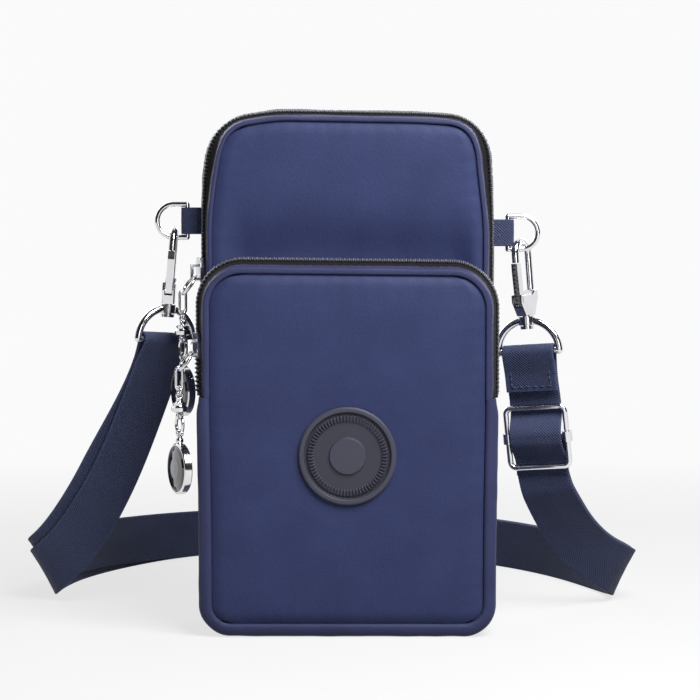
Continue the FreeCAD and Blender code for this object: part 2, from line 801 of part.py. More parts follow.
def build_pull(name, anchor):
    """A chain and charm that hang from a slider's bridge, in a plane turned a little towards the front."""
    ring_turn = FreeCAD.Rotation(Z_AXIS, 180 + s.ring_turn.number)
    ring_lean = FreeCAD.Rotation(Y_AXIS, -s.ring_lean.number)
    ring_hang = FreeCAD.Placement(anchor, ring_turn.multiply(ring_lean))
    ring_low = ring_hang.multVec(vector(0, 0, -2 * s.ring_radius))
    hang = FreeCAD.Placement(ring_low, FreeCAD.Rotation(Z_AXIS, 180 + s.pull_turn.number))

    ring = hoop(f"{name}_ring", s.ring_radius, s.ring_wire, (0, 0, -s.ring_radius), X_AXIS)
    settle(ring, ring_hang.multiply(ring.Placement))
    link_top = s.ring_wire + s.pull_gap + s.link_wire - s.link_radius
    link_low = link_top - s.link_straight
    link_parts = [
        hoop(f"{name}_link_top", s.link_radius, s.link_wire, (0, 0, link_top), -Y_AXIS, X_AXIS, 180),
        hoop(f"{name}_link_foot", s.link_radius, s.link_wire, (0, 0, link_low), Y_AXIS, X_AXIS, 180),
        rod(f"{name}_link_out", s.link_wire, s.link_straight, (s.link_radius, 0, link_low)),
        rod(f"{name}_link_in", s.link_wire, s.link_straight, (-s.link_radius, 0, link_low)),
    ]
    link = fuse(f"{name}_link", link_parts)
    small_top = link_low - s.link_radius + s.link_wire + s.pull_gap + s.small_ring_wire
    small_centre = small_top - s.small_ring_radius
    small_low = small_centre - s.small_ring_radius
    small = hoop(f"{name}_small_ring", s.small_ring_radius, s.small_ring_wire, (0, 0, small_centre), X_AXIS)
    settle(link, hang)
    settle(small, hang.multiply(small.Placement))
    keep(group(f"{name}_chain_links", [ring, link, small]), f"{name}_chain")

    eye_inside = s.eye_radius - s.eye_wire
    top_eye = small_low + s.small_ring_wire + s.pull_gap - eye_inside
    bead_top = top_eye - s.eye_radius
    bead_low = bead_top - s.bead_height
    bead_body = turned(f"{name}_bead_body", [
        (s.bead_radius * wide, bead_top - s.bead_height * down) for wide, down in BEAD_PROFILE
    ])
    low_eye = bead_low - s.eye_radius
    bead_parts = [
        bead_body,
        hoop(f"{name}_bead_top_eye", s.eye_radius, s.eye_wire, (0, 0, top_eye), Y_AXIS),
        hoop(f"{name}_bead_low_eye", s.eye_radius, s.eye_wire, (0, 0, low_eye), Y_AXIS),
    ]
    keep(fuse(f"{name}_bead_whole", bead_parts), f"{name}_bead", hang)

    charm_ring_top = low_eye - eye_inside + s.pull_gap + s.charm_ring_wire
    charm_ring_centre = charm_ring_top - s.charm_ring_radius
    charm_ring_low = charm_ring_centre - s.charm_ring_radius
    charm_ring = hoop(
        f"{name}_big_ring", s.charm_ring_radius, s.charm_ring_wire, (0, 0, charm_ring_centre), X_AXIS
    )
    keep(charm_ring, f"{name}_charm_ring", hang.multiply(charm_ring.Placement))

    charm_eye = charm_ring_low + s.charm_ring_wire + s.pull_gap - eye_inside
    ball_centre = charm_eye - s.eye_radius - s.charm_ball
    disc_centre = ball_centre - s.charm_ball_seat - s.charm_radius
    half_thick = s.charm_thickness / 2
    recess = s.charm_radius - s.charm_lip
    face = half_thick - s.charm_lip / 2
    facing = FreeCAD.Rotation(Z_AXIS, X_AXIS)
    bezel_body = turned(f"{name}_bezel_body", [
        (0, -half_thick),
        (s.charm_radius - s.charm_lip / 2, -half_thick),
        (s.charm_radius, -half_thick + s.charm_lip / 2),
        (s.charm_radius, half_thick - s.charm_lip / 2),
        (s.charm_radius - s.charm_lip / 2, half_thick),
        (recess, half_thick),
        (recess, face - s.stone_dome),
        (0, face - s.stone_dome),
    ])
    place(bezel_body, (0, 0, disc_centre), facing)
    bezel_parts = [
        bezel_body,
        ball(f"{name}_bezel_ball", s.charm_ball, (0, 0, ball_centre)),
        hoop(f"{name}_bezel_eye", s.eye_radius, s.eye_wire, (0, 0, charm_eye), Y_AXIS),
    ]
    keep(fuse(f"{name}_bezel_whole", bezel_parts), f"{name}_charm_bezel", hang)
    stone_edge = recess - s.seam_gap
    stone = turned(f"{name}_stone", [
        (stone_edge * wide, face + s.stone_dome * up) for wide, up in STONE_PROFILE
    ])
    seat = FreeCAD.Placement(vector(0, 0, disc_centre), facing)
    keep(stone, f"{name}_charm_stone", hang.multiply(seat))
    return hang.multVec(vector(0, 0, charm_ring_low))


# Badge


def build_badge():
    """A round moulded badge with a raised rim, a ring of ribs and a plain raised centre."""
    radius = s.badge_diameter / 2
    floor = s.badge_height - s.badge_groove
    ring_edge = radius - s.badge_rim
    slope = s.badge_groove / 2
    body = turned("badge_disc", [
        (0, 0),
        (radius, 0),
        (radius, s.badge_height - slope),
        (radius - slope, s.badge_height),
        (ring_edge, s.badge_height),
        (ring_edge - slope, floor),
        (s.badge_disc_radius + slope, floor),
        (s.badge_disc_radius, s.badge_height),
        (0, s.badge_height),
    ])
    document.recompute()
    sketch = open_sketch(body, "badge_rib_outline", "XY_Plane", floor - s.badge_groove / 2)
    rib_out = ring_edge - s.badge_rim / 2
    rib_in = rib_out - s.badge_rib_length
    rib_side = s.badge_rib_width / 2
    draw_polygon(sketch, [(rib_in, -rib_side), (rib_out, -rib_side), (rib_out, rib_side), (rib_in, rib_side)])
    rib = pad(body, sketch, s.badge_groove)
    document.recompute()
    pattern = body.newObject("PartDesign::PolarPattern", "badge_ribs")
    pattern.Originals = [rib]
    pattern.Axis = (sketch, ["N_Axis"])
    pattern.Angle = 360
    bind(pattern, "Occurrences", s.badge_rib_count)
    body.Tip = pattern
    place(body, (0, front_face, s.badge_centre_height), FreeCAD.Rotation(X_AXIS, 90))
    keep(body, "badge")


# Tabs and D-rings


def build_tab(name, sign, height):
    """A folded webbing tab on the rear strip, with the D-ring that it carries."""
    bar_x = sign * (half_width + s.tab_reach)
    bore = s.ring_wire_radius + s.ring_bore_gap
    root_x = half_width if sign > 0 else bar_x
    low = height - s.tab_width / 2
    sheet_part = block(
        f"{name}_tab_sheet",
        (root_x, s.tab_depth_place - s.tab_thickness / 2, low),
        (s.tab_reach, s.tab_thickness, s.tab_width),
    )
    fold = rod(f"{name}_tab_fold", s.tab_thickness / 2, s.tab_width, (bar_x, s.tab_depth_place, low))
    hole = rod(f"{name}_tab_hole", bore, s.tab_width, (bar_x, s.tab_depth_place, low))
    whole = fuse(f"{name}_tab_cloth", [sheet_part, fold])
    keep(cut(f"{name}_tab_bored", whole, hole), f"{name}_tab")

    bend = s.ring_bend_radius
    wire = s.ring_wire_radius
    bend_x = bar_x + sign * s.ring_straight
    arm_x = bar_x if sign > 0 else bend_x
    axis = Y_AXIS * sign
    y = s.tab_depth_place
    ring_parts = [
        rod(f"{name}_ring_bar", wire, 2 * bend, (bar_x, y, height - bend)),
        rod(f"{name}_ring_low_arm", wire, s.ring_straight, (arm_x, y, height - bend), X_AXIS),
        rod(f"{name}_ring_high_arm", wire, s.ring_straight, (arm_x, y, height + bend), X_AXIS),
        ball(f"{name}_ring_low_corner", wire, (bar_x, y, height - bend)),
        ball(f"{name}_ring_high_corner", wire, (bar_x, y, height + bend)),
        hoop(f"{name}_ring_bend", bend, wire, (bend_x, y, height), axis, Z_AXIS, 180),
    ]
    keep(fuse(f"{name}_ring_whole", ring_parts), f"{name}_d_ring")
    return vector(bend_x, y, height - bend)


# Snap clips

# Directions, seen from above, of the strap bars and of the right hook's opening.
LEFT_BAR_DIRECTION = FreeCAD.Vector(0.82, 0.57, 0)
RIGHT_BAR_DIRECTION = FreeCAD.Vector(0.94, -0.34, 0)
RIGHT_HOOK_DIRECTION = FreeCAD.Vector(0.57, 0.82, 0)


def build_clip(name, contact, hang_axis, hook_axis, bar_axis):
    """A swivel snap clip on a D-ring, built hanging from the origin: hook, gate, pin, spring, rivet, strap loop."""
    hook_place = FreeCAD.Placement(contact, turned_axes(hook_axis, hang_axis))
    loop_place = FreeCAD.Placement(contact, turned_axes(bar_axis, hang_axis))
    wire = s.hook_wire
    bend = s.hook_eye_radius + wire
    eye = s.ring_wire_radius + s.hook_seat_gap - s.hook_eye_radius
    throat = -s.hook_throat
    foot = -s.hook_length
    shoulder = throat - wire
    edge = bend + wire
    neck = s.hook_neck / 2

    base_body = new_body(f"{name}_hook_base")
    base_sketch = open_sketch(base_body, f"{name}_hook_base_outline", "XZ_Plane", -s.hook_thickness / 2)
    pivot_x = -s.hook_eye_radius - s.gate_pin_radius
    pivot_z = throat - wire - s.gate_barrel * 2
    draw_polygon(base_sketch, [
        (edge, throat),
        (edge, shoulder - wire),
        (neck, foot),
        (-neck, foot),
        (-edge, pivot_z),
        (-edge, shoulder),
        (wire, shoulder),
        (s.hook_eye_radius, throat),
    ])
    base_pad = pad(base_body, base_sketch, s.hook_thickness)
    round_edges(base_body, base_pad, wire / 2, lambda edge: edge.BoundBox.YLength < TINY)
    crown_parts = [
        base_body,
        hoop(f"{name}_hook_crown", bend, wire, (0, 0, eye), -Y_AXIS, X_AXIS, 180),
        rod(f"{name}_hook_arm", wire, eye - throat, (bend, 0, throat)),
        rod(f"{name}_hook_nose", wire, s.nose_length, (-bend, 0, eye - s.nose_length)),
    ]
    hook_whole = fuse(f"{name}_hook_whole", crown_parts)
    slot_half = s.gate_thickness / 2 + s.gate_gap
    slot_in = -wire / 2
    slot_low = pivot_z - s.gate_barrel - s.gate_gap
    hook_cuts = fuse(f"{name}_hook_cuts", [
        block(
            f"{name}_hook_slot",
            (-edge - wire, -slot_half, slot_low),
            (edge + wire + slot_in, 2 * slot_half, shoulder + wire - slot_low),
        ),
        rod(
            f"{name}_hook_pin_hole",
            s.gate_pin_radius,
            s.hook_thickness,
            (pivot_x, -s.hook_thickness / 2, pivot_z),
            Y_AXIS,
        ),
    ])
    keep(cut(f"{name}_hook_slotted", hook_whole, hook_cuts), f"{name}_hook", hook_place)

    gate_body = new_body(f"{name}_gate_blade")
    gate_sketch = open_sketch(gate_body, f"{name}_gate_outline", "XZ_Plane", -s.gate_thickness / 2)
    gate_top = eye - s.nose_length - s.gate_gap
    draw_polygon(gate_sketch, [
        (-edge, gate_top),
        (-s.hook_eye_radius, gate_top),
        (pivot_x + s.gate_barrel, pivot_z),
        (pivot_x - s.gate_barrel, pivot_z),
        (-edge, gate_top - s.gate_barrel * 2),
    ])
    pad(gate_body, gate_sketch, s.gate_thickness)
    y_low = -s.gate_thickness / 2
    barrel = rod(f"{name}_gate_barrel", s.gate_barrel, s.gate_thickness, (pivot_x, y_low, pivot_z), Y_AXIS)
    gate_whole = fuse(f"{name}_gate_whole", [gate_body, barrel])
    pin_hole = s.gate_pin_radius + s.gate_pin_gap
    spring_room = s.spring_length + 2 * s.gate_pin_gap
    gate_cuts = fuse(f"{name}_gate_cuts", [
        rod(f"{name}_gate_pin_hole", pin_hole, s.gate_thickness, (pivot_x, y_low, pivot_z), Y_AXIS),
        rod(
            f"{name}_gate_spring_room",
            s.gate_barrel - s.gate_pin_gap * 2,
            spring_room,
            (pivot_x, -spring_room / 2, pivot_z),
            Y_AXIS,
        ),
    ])
    keep(cut(f"{name}_gate_bored", gate_whole, gate_cuts), f"{name}_gate", hook_place)
    pin = rod(
        f"{name}_pin", s.gate_pin_radius, s.hook_thickness, (pivot_x, -s.hook_thickness / 2, pivot_z), Y_AXIS
    )
    keep(pin, f"{name}_gate_pin", hook_place.multiply(pin.Placement))
    coil_low = (pivot_x, -s.spring_length / 2, pivot_z)
    coil_outside = rod(f"{name}_spring_outside", pin_hole + s.spring_wall, s.spring_length, coil_low, Y_AXIS)
    coil_inside = rod(f"{name}_spring_inside", pin_hole, s.spring_length, coil_low, Y_AXIS)
    keep(cut(f"{name}_spring_coil", coil_outside, coil_inside), f"{name}_gate_spring", hook_place)

    boss_top = foot - s.swivel_gap
    boss_low = boss_top - s.loop_boss_height
    head_top = boss_low - s.swivel_gap
    rivet_parts = [
        rod(f"{name}_rivet_post", s.rivet_radius, foot - head_top, (0, 0, head_top)),
        rod(f"{name}_rivet_head", s.rivet_head_radius, s.rivet_head_height, (0, 0, head_top - s.rivet_head_height)),
    ]
    keep(fuse(f"{name}_rivet_whole", rivet_parts), f"{name}_swivel_rivet", hook_place)

    loop_wire = s.loop_wire
    loop_bend = s.strap_width / 2 + s.loop_side_room + loop_wire
    bar_z = boss_top - loop_wire - loop_bend
    loop_parts = [
        hoop(f"{name}_loop_arch", loop_bend, loop_wire, (0, 0, bar_z), -Y_AXIS, X_AXIS, 180),
        rod(f"{name}_loop_bar", loop_wire, 2 * loop_bend, (-loop_bend, 0, bar_z), X_AXIS),
        ball(f"{name}_loop_right_corner", loop_wire, (loop_bend, 0, bar_z)),
        ball(f"{name}_loop_left_corner", loop_wire, (-loop_bend, 0, bar_z)),
        rod(f"{name}_loop_boss", s.loop_boss_radius, s.loop_boss_height, (0, 0, boss_low)),
    ]
    loop_whole = fuse(f"{name}_loop_whole", loop_parts)
    loop_hole = rod(
        f"{name}_loop_hole", s.rivet_radius + s.rivet_bore_gap, s.loop_boss_height, (0, 0, boss_low)
    )
    keep(cut(f"{name}_loop_bored", loop_whole, loop_hole), f"{name}_strap_loop", loop_place)
    return loop_place.multVec(vector(0, 0, bar_z))


# Strap

# Points of the strap's middle line between its two bars, each with the direction across the webbing
# and the longest stretch of a run that the bend at the point may take.
STRAP_ROUTE = [
    ((73.8, 21.0, 52.0), (0.93, -0.30, 0.15), 5.0),
    ((90.0, 42.0, 24.0), (0.75, -0.15, 0.65), 12.0),
    ((111.0, 60.0, 10.2), (0.47, 0.0, 0.88), 7.0),
    ((98.0, 99.0, 10.2), (0.0, 0.0, 1.0), 15.0),
    ((84.0, 131.0, 10.2), (0.0, 0.0, 1.0), 15.0),
    ((63.5, 160.0, 10.2), (0.0, 0.0, 1.0), 15.0),
    ((25.0, 195.0, 10.2), (0.0, 0.0, 1.0), 20.0),
    ((-25.0, 208.0, 10.2), (0.0, 0.0, 1.0), 20.0),
    ((-70.0, 186.0, 10.2), (0.0, 0.0, 1.0), 20.0),
    ((-98.0, 147.0, 10.2), (0.0, 0.0, 1.0), 15.0),
    ((-115.0, 105.0, 10.2), (0.0, 0.0, 1.0), 15.0),
    ((-122.4, 60.0, 10.2), (-0.54, 0.0, 0.84), 7.0),
    ((-108.0, 51.0, 23.0), (-0.66, -0.20, 0.70), 8.0),
    ((-93.5, 41.0, 46.0), (-0.78, -0.42, 0.40), 10.0),
    ((-81.0, 30.0, 73.5), (-0.82, -0.52, 0.12), 10.0),
]
ARC_STEPS = 5
EASE_STEPS = 6
SHORTEST_STEP = 0.2
LONGEST_BEND_SHARE = 0.45


class Route:
    """Straight runs joined by tangent arcs, with a direction across the webbing everywhere."""

    def __init__(self, points, acrosses, stretches):
        self.pieces = []
        self.marks = [(0.0, acrosses[0])]
        self.radii = []
        self.length = 0.0
        start = points[0]
        for index in range(1, len(points) - 1):
            before = points[index] - points[index - 1]
            after = points[index + 1] - points[index]
            turn = before.getAngle(after)
            stretch = min(stretches[index], LONGEST_BEND_SHARE * min(before.Length, after.Length))
            radius = stretch / math.tan(turn / 2)
            before.normalize()
            after.normalize()
            bend_start = points[index] - before * stretch
            self.add_run(start, bend_start)
            axis = before.cross(after).normalize()
            centre = bend_start + axis.cross(before) * radius
            self.pieces.append(("bend", self.length, radius * turn, centre, bend_start - centre, axis, radius))
            self.marks.append((self.length + radius * turn / 2, acrosses[index]))
            self.radii.append(radius)
            self.length += radius * turn
            start = points[index] + after * stretch
        self.add_run(start, points[-1])
        self.marks.append((self.length, acrosses[-1]))

    def add_run(self, start, end):
        """Add a straight run."""
        length = (end - start).Length
        self.pieces.append(("run", self.length, length, start, (end - start).normalize()))
        self.length += length

    def breaks(self, first, last):
        """Distances between two ends where a section is needed."""
        distances = [first]
        for piece in self.pieces:
            steps = ARC_STEPS if piece[0] == "bend" else 2
            distances += [piece[1] + piece[2] * step / steps for step in range(steps)]
        inside = [distance for distance in sorted(distances) if first < distance < last]
        return [first] + inside + [last]

    def at(self, distance):
        """Point, direction along and direction across at a distance along the route."""
        piece = next(item for item in reversed(self.pieces) if distance >= item[1] - TINY)
        along = distance - piece[1]
        if piece[0] == "run":
            point = piece[3] + piece[4] * along
            direction = FreeCAD.Vector(piece[4])
        else:
            spin = FreeCAD.Rotation(piece[5], math.degrees(along / piece[6]))
            arm = spin.multVec(piece[4])
            point = piece[3] + arm
            direction = piece[5].cross(arm).normalize()
        across = self.across(distance)
        across = (across - direction * across.dot(direction)).normalize()
        return point, direction, across

    def across(self, distance):
        """Direction across the webbing, blended between the route's points."""
        for (low, first), (high, second) in zip(self.marks, self.marks[1:]):
            if distance <= high:
                share = (distance - low) / (high - low)
                return first * (1 - share) + second * share
        return self.marks[-1][1]


def webbing(route, stations):
    """A flat band as a ruled loft through a rectangle at each (distance, offset to the front) station."""
    half_wide = s.strap_width.number / 2
    half_thick = s.strap_thickness.number / 2
    sections = []
    for distance, offset in stations:
        point, direction, across = route.at(distance)
        facing = direction.cross(across)
        middle = point + facing * offset
        wide = across * half_wide
        thick = facing * half_thick
        corners = [middle - wide - thick, middle + wide - thick, middle + wide + thick, middle - wide + thick]
        sections.append(Part.makePolygon(corners + corners[:1]))
    return Part.makeLoft(sections, True, True)


def offset_between(knots, distance):
    """Offset at a distance, eased between (distance, offset) knots."""
    for (low, first), (high, second) in zip(knots, knots[1:]):
        if distance <= high:
            share = max((distance - low) / (high - low), 0.0)
            eased = share * share * (3 - 2 * share)
            return first + (second - first) * eased
    return knots[-1][1]


def layer(route, knots):
    """A layer of the strap from its first knot to its last, with extra sections where its offset changes."""
    distances = set(route.breaks(knots[0][0], knots[-1][0]))
    for (low, first), (high, second) in zip(knots, knots[1:]):
        if abs(first - second) > TINY:
            distances |= {low + (high - low) * step / EASE_STEPS for step in range(EASE_STEPS + 1)}
    merged = []
    for distance in sorted(distances):
        if not merged or distance - merged[-1] > SHORTEST_STEP:
            merged.append(distance)
    return webbing(route, [(distance, offset_between(knots, distance)) for distance in merged])


def fold_round_bar(route, distance, upward):
    """Webbing wrapped half round a loop's bar, as a half tube across the strap."""
    point, direction, across = route.at(distance)
    up = direction * upward
    inner = s.loop_wire.number + s.strap_bar_gap.number
    outer = inner + s.strap_thickness.number
    start = point - across * (s.strap_width.number / 2)
    frame = FreeCAD.Placement(start, turned_axes(direction.cross(across), across))
    half_tube = Part.makeCylinder(outer, s.strap_width.number, ORIGIN, Z_AXIS, 180)
    half_tube = half_tube.cut(Part.makeCylinder(inner, s.strap_width.number)).Solids[0]
    half_tube.Placement = frame.multiply(half_tube.Placement)
    if (half_tube.CenterOfMass - point).dot(up) < 0:
        half_tube.rotate(point, across, 180)
    return half_tube


def keep_webbing(name, shape):
    """A finished length of strap."""
    length = document.addObject("Part::Feature", name)
    length.Shape = shape
    keep(length, name)


def build_strap(right_bar, right_across, left_bar, left_across):
    """The doubled strap, in lengths, and the adjuster buckle that it passes through."""
    points = [right_bar] + [FreeCAD.Vector(*point) for point, across, stretch in STRAP_ROUTE] + [left_bar]
    points[1] = squared(points[1], right_bar, right_across)
    points[-2] = squared(points[-2], left_bar, left_across)
    acrosses = [right_across] + [FreeCAD.Vector(*across) for point, across, stretch in STRAP_ROUTE]
    acrosses.append(-left_across)
    stretches = [0.0] + [stretch for point, across, stretch in STRAP_ROUTE]
    route = Route(points, acrosses, stretches)
    thick = s.strap_thickness.number
    bar_offset = s.loop_wire.number + s.strap_bar_gap.number + thick / 2
    lay = (s.strap_layer_gap.number + thick) / 2
    place_of_buckle = s.buckle_place.number
    half_pitch = s.buckle_pitch.number / 2
    under_bar = s.buckle_wire.number + s.strap_bar_gap.number + thick / 2
    top_bar = place_of_buckle - half_pitch
    low_bar = place_of_buckle + half_pitch
    pass_start = top_bar - 2 * s.buckle_wire.number
    pass_end = low_bar + 3 * s.buckle_wire.number
    over_bar = under_bar + thick + s.strap_bar_gap.number
    ease = s.strap_ease.number

    fold = fold_round_bar(route, 0.0, -1)
    tail = layer(route, [(0.0, bar_offset), (ease, lay), (s.tail_length.number, lay)])
    back_leg = layer(route, [(0.0, -bar_offset), (ease, -lay), (pass_start, -under_bar)])
    keep_webbing("strap_right_fold", fold.fuse([tail, back_leg]))
    weave = [
        (pass_start, -under_bar),
        (top_bar + s.buckle_wire.number, -under_bar),
        (place_of_buckle - s.buckle_wire.number, over_bar),
        (place_of_buckle + s.buckle_wire.number, over_bar),
        (low_bar - s.buckle_wire.number, -under_bar),
        (low_bar + s.buckle_wire.number, -under_bar),
        (pass_end, -under_bar),
    ]
    keep_webbing("strap_buckle_pass", layer(route, weave))
    end = route.length
    outer_knots = [(pass_end, -under_bar), (pass_end + ease, lay), (end - ease, lay), (end, bar_offset)]
    keep_webbing("strap_outer", layer(route, outer_knots))
    keep_webbing("strap_left_fold", fold_round_bar(route, end, 1))
    behind = -under_bar - thick - s.strap_bar_gap.number
    inner_knots = [
        (place_of_buckle, -under_bar),
        (place_of_buckle + 3 * s.buckle_wire.number, -under_bar),
        (low_bar - s.buckle_wire.number, behind),
        (pass_end, behind),
        (pass_end + ease, -lay),
        (end - ease, -lay),
        (end, -bar_offset),
    ]
    keep_webbing("strap_inner", layer(route, inner_knots))
    print("strap bend radii", [round(radius, 1) for radius in route.radii])
    print("strap loop length", round(route.length, 1))
    section = s.strap_width.number * thick
    for name in ("strap_outer", "strap_inner"):
        solid = document.getObject(name).Shape
        print(name, "volume over section gives length", round(solid.Volume / section, 1))
    print("strap at the buckle", route.at(place_of_buckle))
    build_buckle(route.at(place_of_buckle))


def build_buckle(station):
    """A wire frame round the strap and the bar that slides on its sides."""
    point, direction, across = station
    frame_place = FreeCAD.Placement(point, turned_axes(across, -direction))
    wire = s.buckle_wire
    corner = s.buckle_corner
    side = s.strap_width / 2 + s.buckle_side_room + wire
    high = s.buckle_pitch / 2
    level = side - corner
    upright = high - corner
    parts = [
        rod("buckle_top_bar", wire, 2 * level, (-level, 0, high), X_AXIS),
        rod("buckle_low_bar", wire, 2 * level, (-level, 0, -high), X_AXIS),
        rod("buckle_right_side", wire, 2 * upright, (side, 0, -upright)),
        rod("buckle_left_side", wire, 2 * upright, (-side, 0, -upright)),
    ]
    starts = {(1, 1): X_AXIS, (-1, 1): Z_AXIS, (-1, -1): -X_AXIS, (1, -1): -Z_AXIS}
    for (x_sign, z_sign), start in starts.items():
        centre = (x_sign * level, 0, z_sign * upright)
        parts.append(hoop(f"buckle_corner_{len(parts)}", corner, wire, centre, -Y_AXIS, start, 90))
    keep(fuse("buckle_frame_whole", parts), "buckle_frame", frame_place)

    bore = wire + s.buckle_sleeve_gap
    sleeve = bore + s.buckle_sleeve_wall
    low = -s.buckle_sleeve_length / 2
    bar_parts = [rod("buckle_bar_rod", wire, 2 * side, (-side, 0, 0), X_AXIS)]
    bores = []
    for x_sign in (1, -1):
        sleeve_name = f"buckle_sleeve_{len(bar_parts)}"
        bar_parts.append(rod(sleeve_name, sleeve, s.buckle_sleeve_length, (x_sign * side, 0, low)))
        bores.append(rod(f"buckle_bore_{len(bores)}", bore, s.buckle_sleeve_length, (x_sign * side, 0, low)))
    bar_whole = fuse("buckle_bar_whole", bar_parts)
    keep(cut("buckle_bar_bored", bar_whole, fuse("buckle_bores", bores)), "buckle_bar", frame_place)


def tilted(sign, degrees):
    """Upward direction of a clip whose foot leans out to one side."""
    angle = math.radians(degrees)
    return FreeCAD.Vector(-sign * math.sin(angle), 0, math.cos(angle))


def squared(point, bar, across):
    """A point moved along a bar's direction until the run from the bar to it leaves the bar squarely."""
    return point - across * (point - bar).dot(across)


def square_to(direction, axis):
    """A direction made square to an axis."""
    return (direction - axis * direction.dot(axis)).normalize()


def main():
    """Build every piece, check it and write its file."""
    build_shell()
    build_zip("main_zip", s.bag_height, main_zip_y, main_slider_height, split=True)
    build_zip("pocket_zip", s.pocket_height, pocket_zip_y, pocket_slider_height, split=False)
    main_anchor = build_slider("main_zip_slider", main_zip_y, main_slider_height)
    pocket_anchor = build_slider("pocket_zip_slider", pocket_zip_y, pocket_slider_height)
    print("main pull", main_anchor, build_pull("main_pull", main_anchor))
    print("pocket pull", pocket_anchor, build_pull("pocket_pull", pocket_anchor))
    build_badge()
    left_contact = build_tab("left", -1, s.left_tab_height)
    right_contact = build_tab("right", 1, s.right_tab_height)
    left_up = tilted(-1, s.left_clip_tilt.number)
    right_up = tilted(1, s.right_clip_tilt.number)
    left_across = square_to(LEFT_BAR_DIRECTION, left_up)
    right_across = square_to(RIGHT_BAR_DIRECTION, right_up)
    right_hook_axis = square_to(RIGHT_HOOK_DIRECTION, right_up)
    left_bar = build_clip("left", left_contact, left_up, Y_AXIS, left_across)
    right_bar = build_clip("right", right_contact, right_up, right_hook_axis, right_across)
    print("contacts", left_contact, right_contact, "bars", left_bar, right_bar)
    build_strap(right_bar, right_across, left_bar, left_across)
    document.recompute()
    write_parts()


def write_parts():
    """Check every object and every finished shape, then write one file for each sub-part."""
    for thing in document.Objects:
        bad = [word for word in thing.State if word in ("Invalid", "Error")]
        if bad:
            raise RuntimeError(f"{thing.Name} failed: {thing.State}")
    for thing in finished:
        if thing.Shape.isNull() or not thing.Shape.isValid() or not thing.Shape.Solids:
            raise RuntimeError(f"{thing.Label} has no valid solid")
    os.makedirs("parts", exist_ok=True)
    for thing in finished:
        thing.Shape.exportStep(os.path.join("parts", f"{thing.Label}.step"))
    print(len(finished), "sub-parts written")


main()
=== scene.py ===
"""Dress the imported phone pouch: padded shell, coil zips, webbing, metal fittings, studio and camera."""
import json
import logging
import math
from dataclasses import dataclass
from enum import Enum
from typing import Any, Sequence

import bmesh
import bpy
import numpy as np
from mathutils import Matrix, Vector


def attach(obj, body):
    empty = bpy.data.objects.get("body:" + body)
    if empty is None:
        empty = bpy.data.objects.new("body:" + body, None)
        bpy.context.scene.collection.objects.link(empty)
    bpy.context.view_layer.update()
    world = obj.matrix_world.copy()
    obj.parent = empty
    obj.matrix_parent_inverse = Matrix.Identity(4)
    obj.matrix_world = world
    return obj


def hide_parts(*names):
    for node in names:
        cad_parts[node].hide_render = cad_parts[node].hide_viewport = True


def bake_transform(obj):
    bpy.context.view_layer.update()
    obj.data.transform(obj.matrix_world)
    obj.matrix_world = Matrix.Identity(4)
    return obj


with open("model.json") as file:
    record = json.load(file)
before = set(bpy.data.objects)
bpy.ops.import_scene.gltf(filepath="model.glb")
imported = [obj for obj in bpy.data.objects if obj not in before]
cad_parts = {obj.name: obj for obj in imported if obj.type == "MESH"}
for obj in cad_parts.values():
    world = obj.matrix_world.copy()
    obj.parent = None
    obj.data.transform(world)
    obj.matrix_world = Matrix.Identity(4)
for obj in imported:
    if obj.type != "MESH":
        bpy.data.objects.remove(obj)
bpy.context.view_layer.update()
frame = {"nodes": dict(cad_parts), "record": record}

MM = 0.001
TURN = 2 * math.pi
CREASE = math.radians(50.0)
UPWARD = (0.0, 0.0, 1.0)
FORWARD = (0.0, -1.0, 0.0)
LOG = logging.getLogger("phone_pouch")

Array = np.ndarray
Triple = tuple[float, float, float]
Colour = tuple[float, float, float, float]
Object = bpy.types.Object
Material = bpy.types.Material


class Body(Enum):
    """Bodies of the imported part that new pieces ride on."""

    BAG = "bag"
    FLAP = "flap"
    POCKET_MOUTH = "pocket_mouth"
    LEFT_LOOP = "left_loop"
    RIGHT_LOOP = "right_loop"
    BUCKLE = "buckle"


class Slot(Enum):
    """Material slots of the record."""

    PANEL = "panel_nylon"
    STRIP = "strip_nylon"
    WEBBING = "webbing"
    TAPE = "zip_tape"
    TEETH = "zip_teeth"
    SLIDER = "slider_metal"
    CHROME = "chrome"
    SPRING = "spring_steel"
    BADGE = "badge_rubber"
    STONE = "charm_stone"


@dataclass(frozen=True)
class Carry:
    """How a piece moves with one body, or the two bodies and the two points in metres between which it is
    meant to bend; the bend itself is not set up.
    """

    body: Body
    other: Body | None = None
    start: Triple = (0.0, 0.0, 0.0)
    end: Triple = (0.0, 0.0, 0.0)

    def apply(self, piece: Object) -> None:
        """Hang a piece on its body; a piece between two bodies has its place baked into its mesh instead.

        Args:
            piece: The finished object, in its place.
        """
        if self.other is None:
            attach(piece, self.body.value)
        else:
            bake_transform(piece)


def fold_between(body: Body, low: float, high: float) -> Carry:
    """A bend from the bag to a body between two heights in metres."""
    return Carry(Body.BAG, body, (0.0, 0.0, low), (0.0, 0.0, high))


ON_BAG = Carry(Body.BAG)
FLAP_FOLD = fold_between(Body.FLAP, 0.136, 0.146)
POCKET_FOLD = fold_between(Body.POCKET_MOUTH, 0.0866, 0.096)
POCKET_PANEL_FOLD = fold_between(Body.POCKET_MOUTH, 0.0855, 0.098)


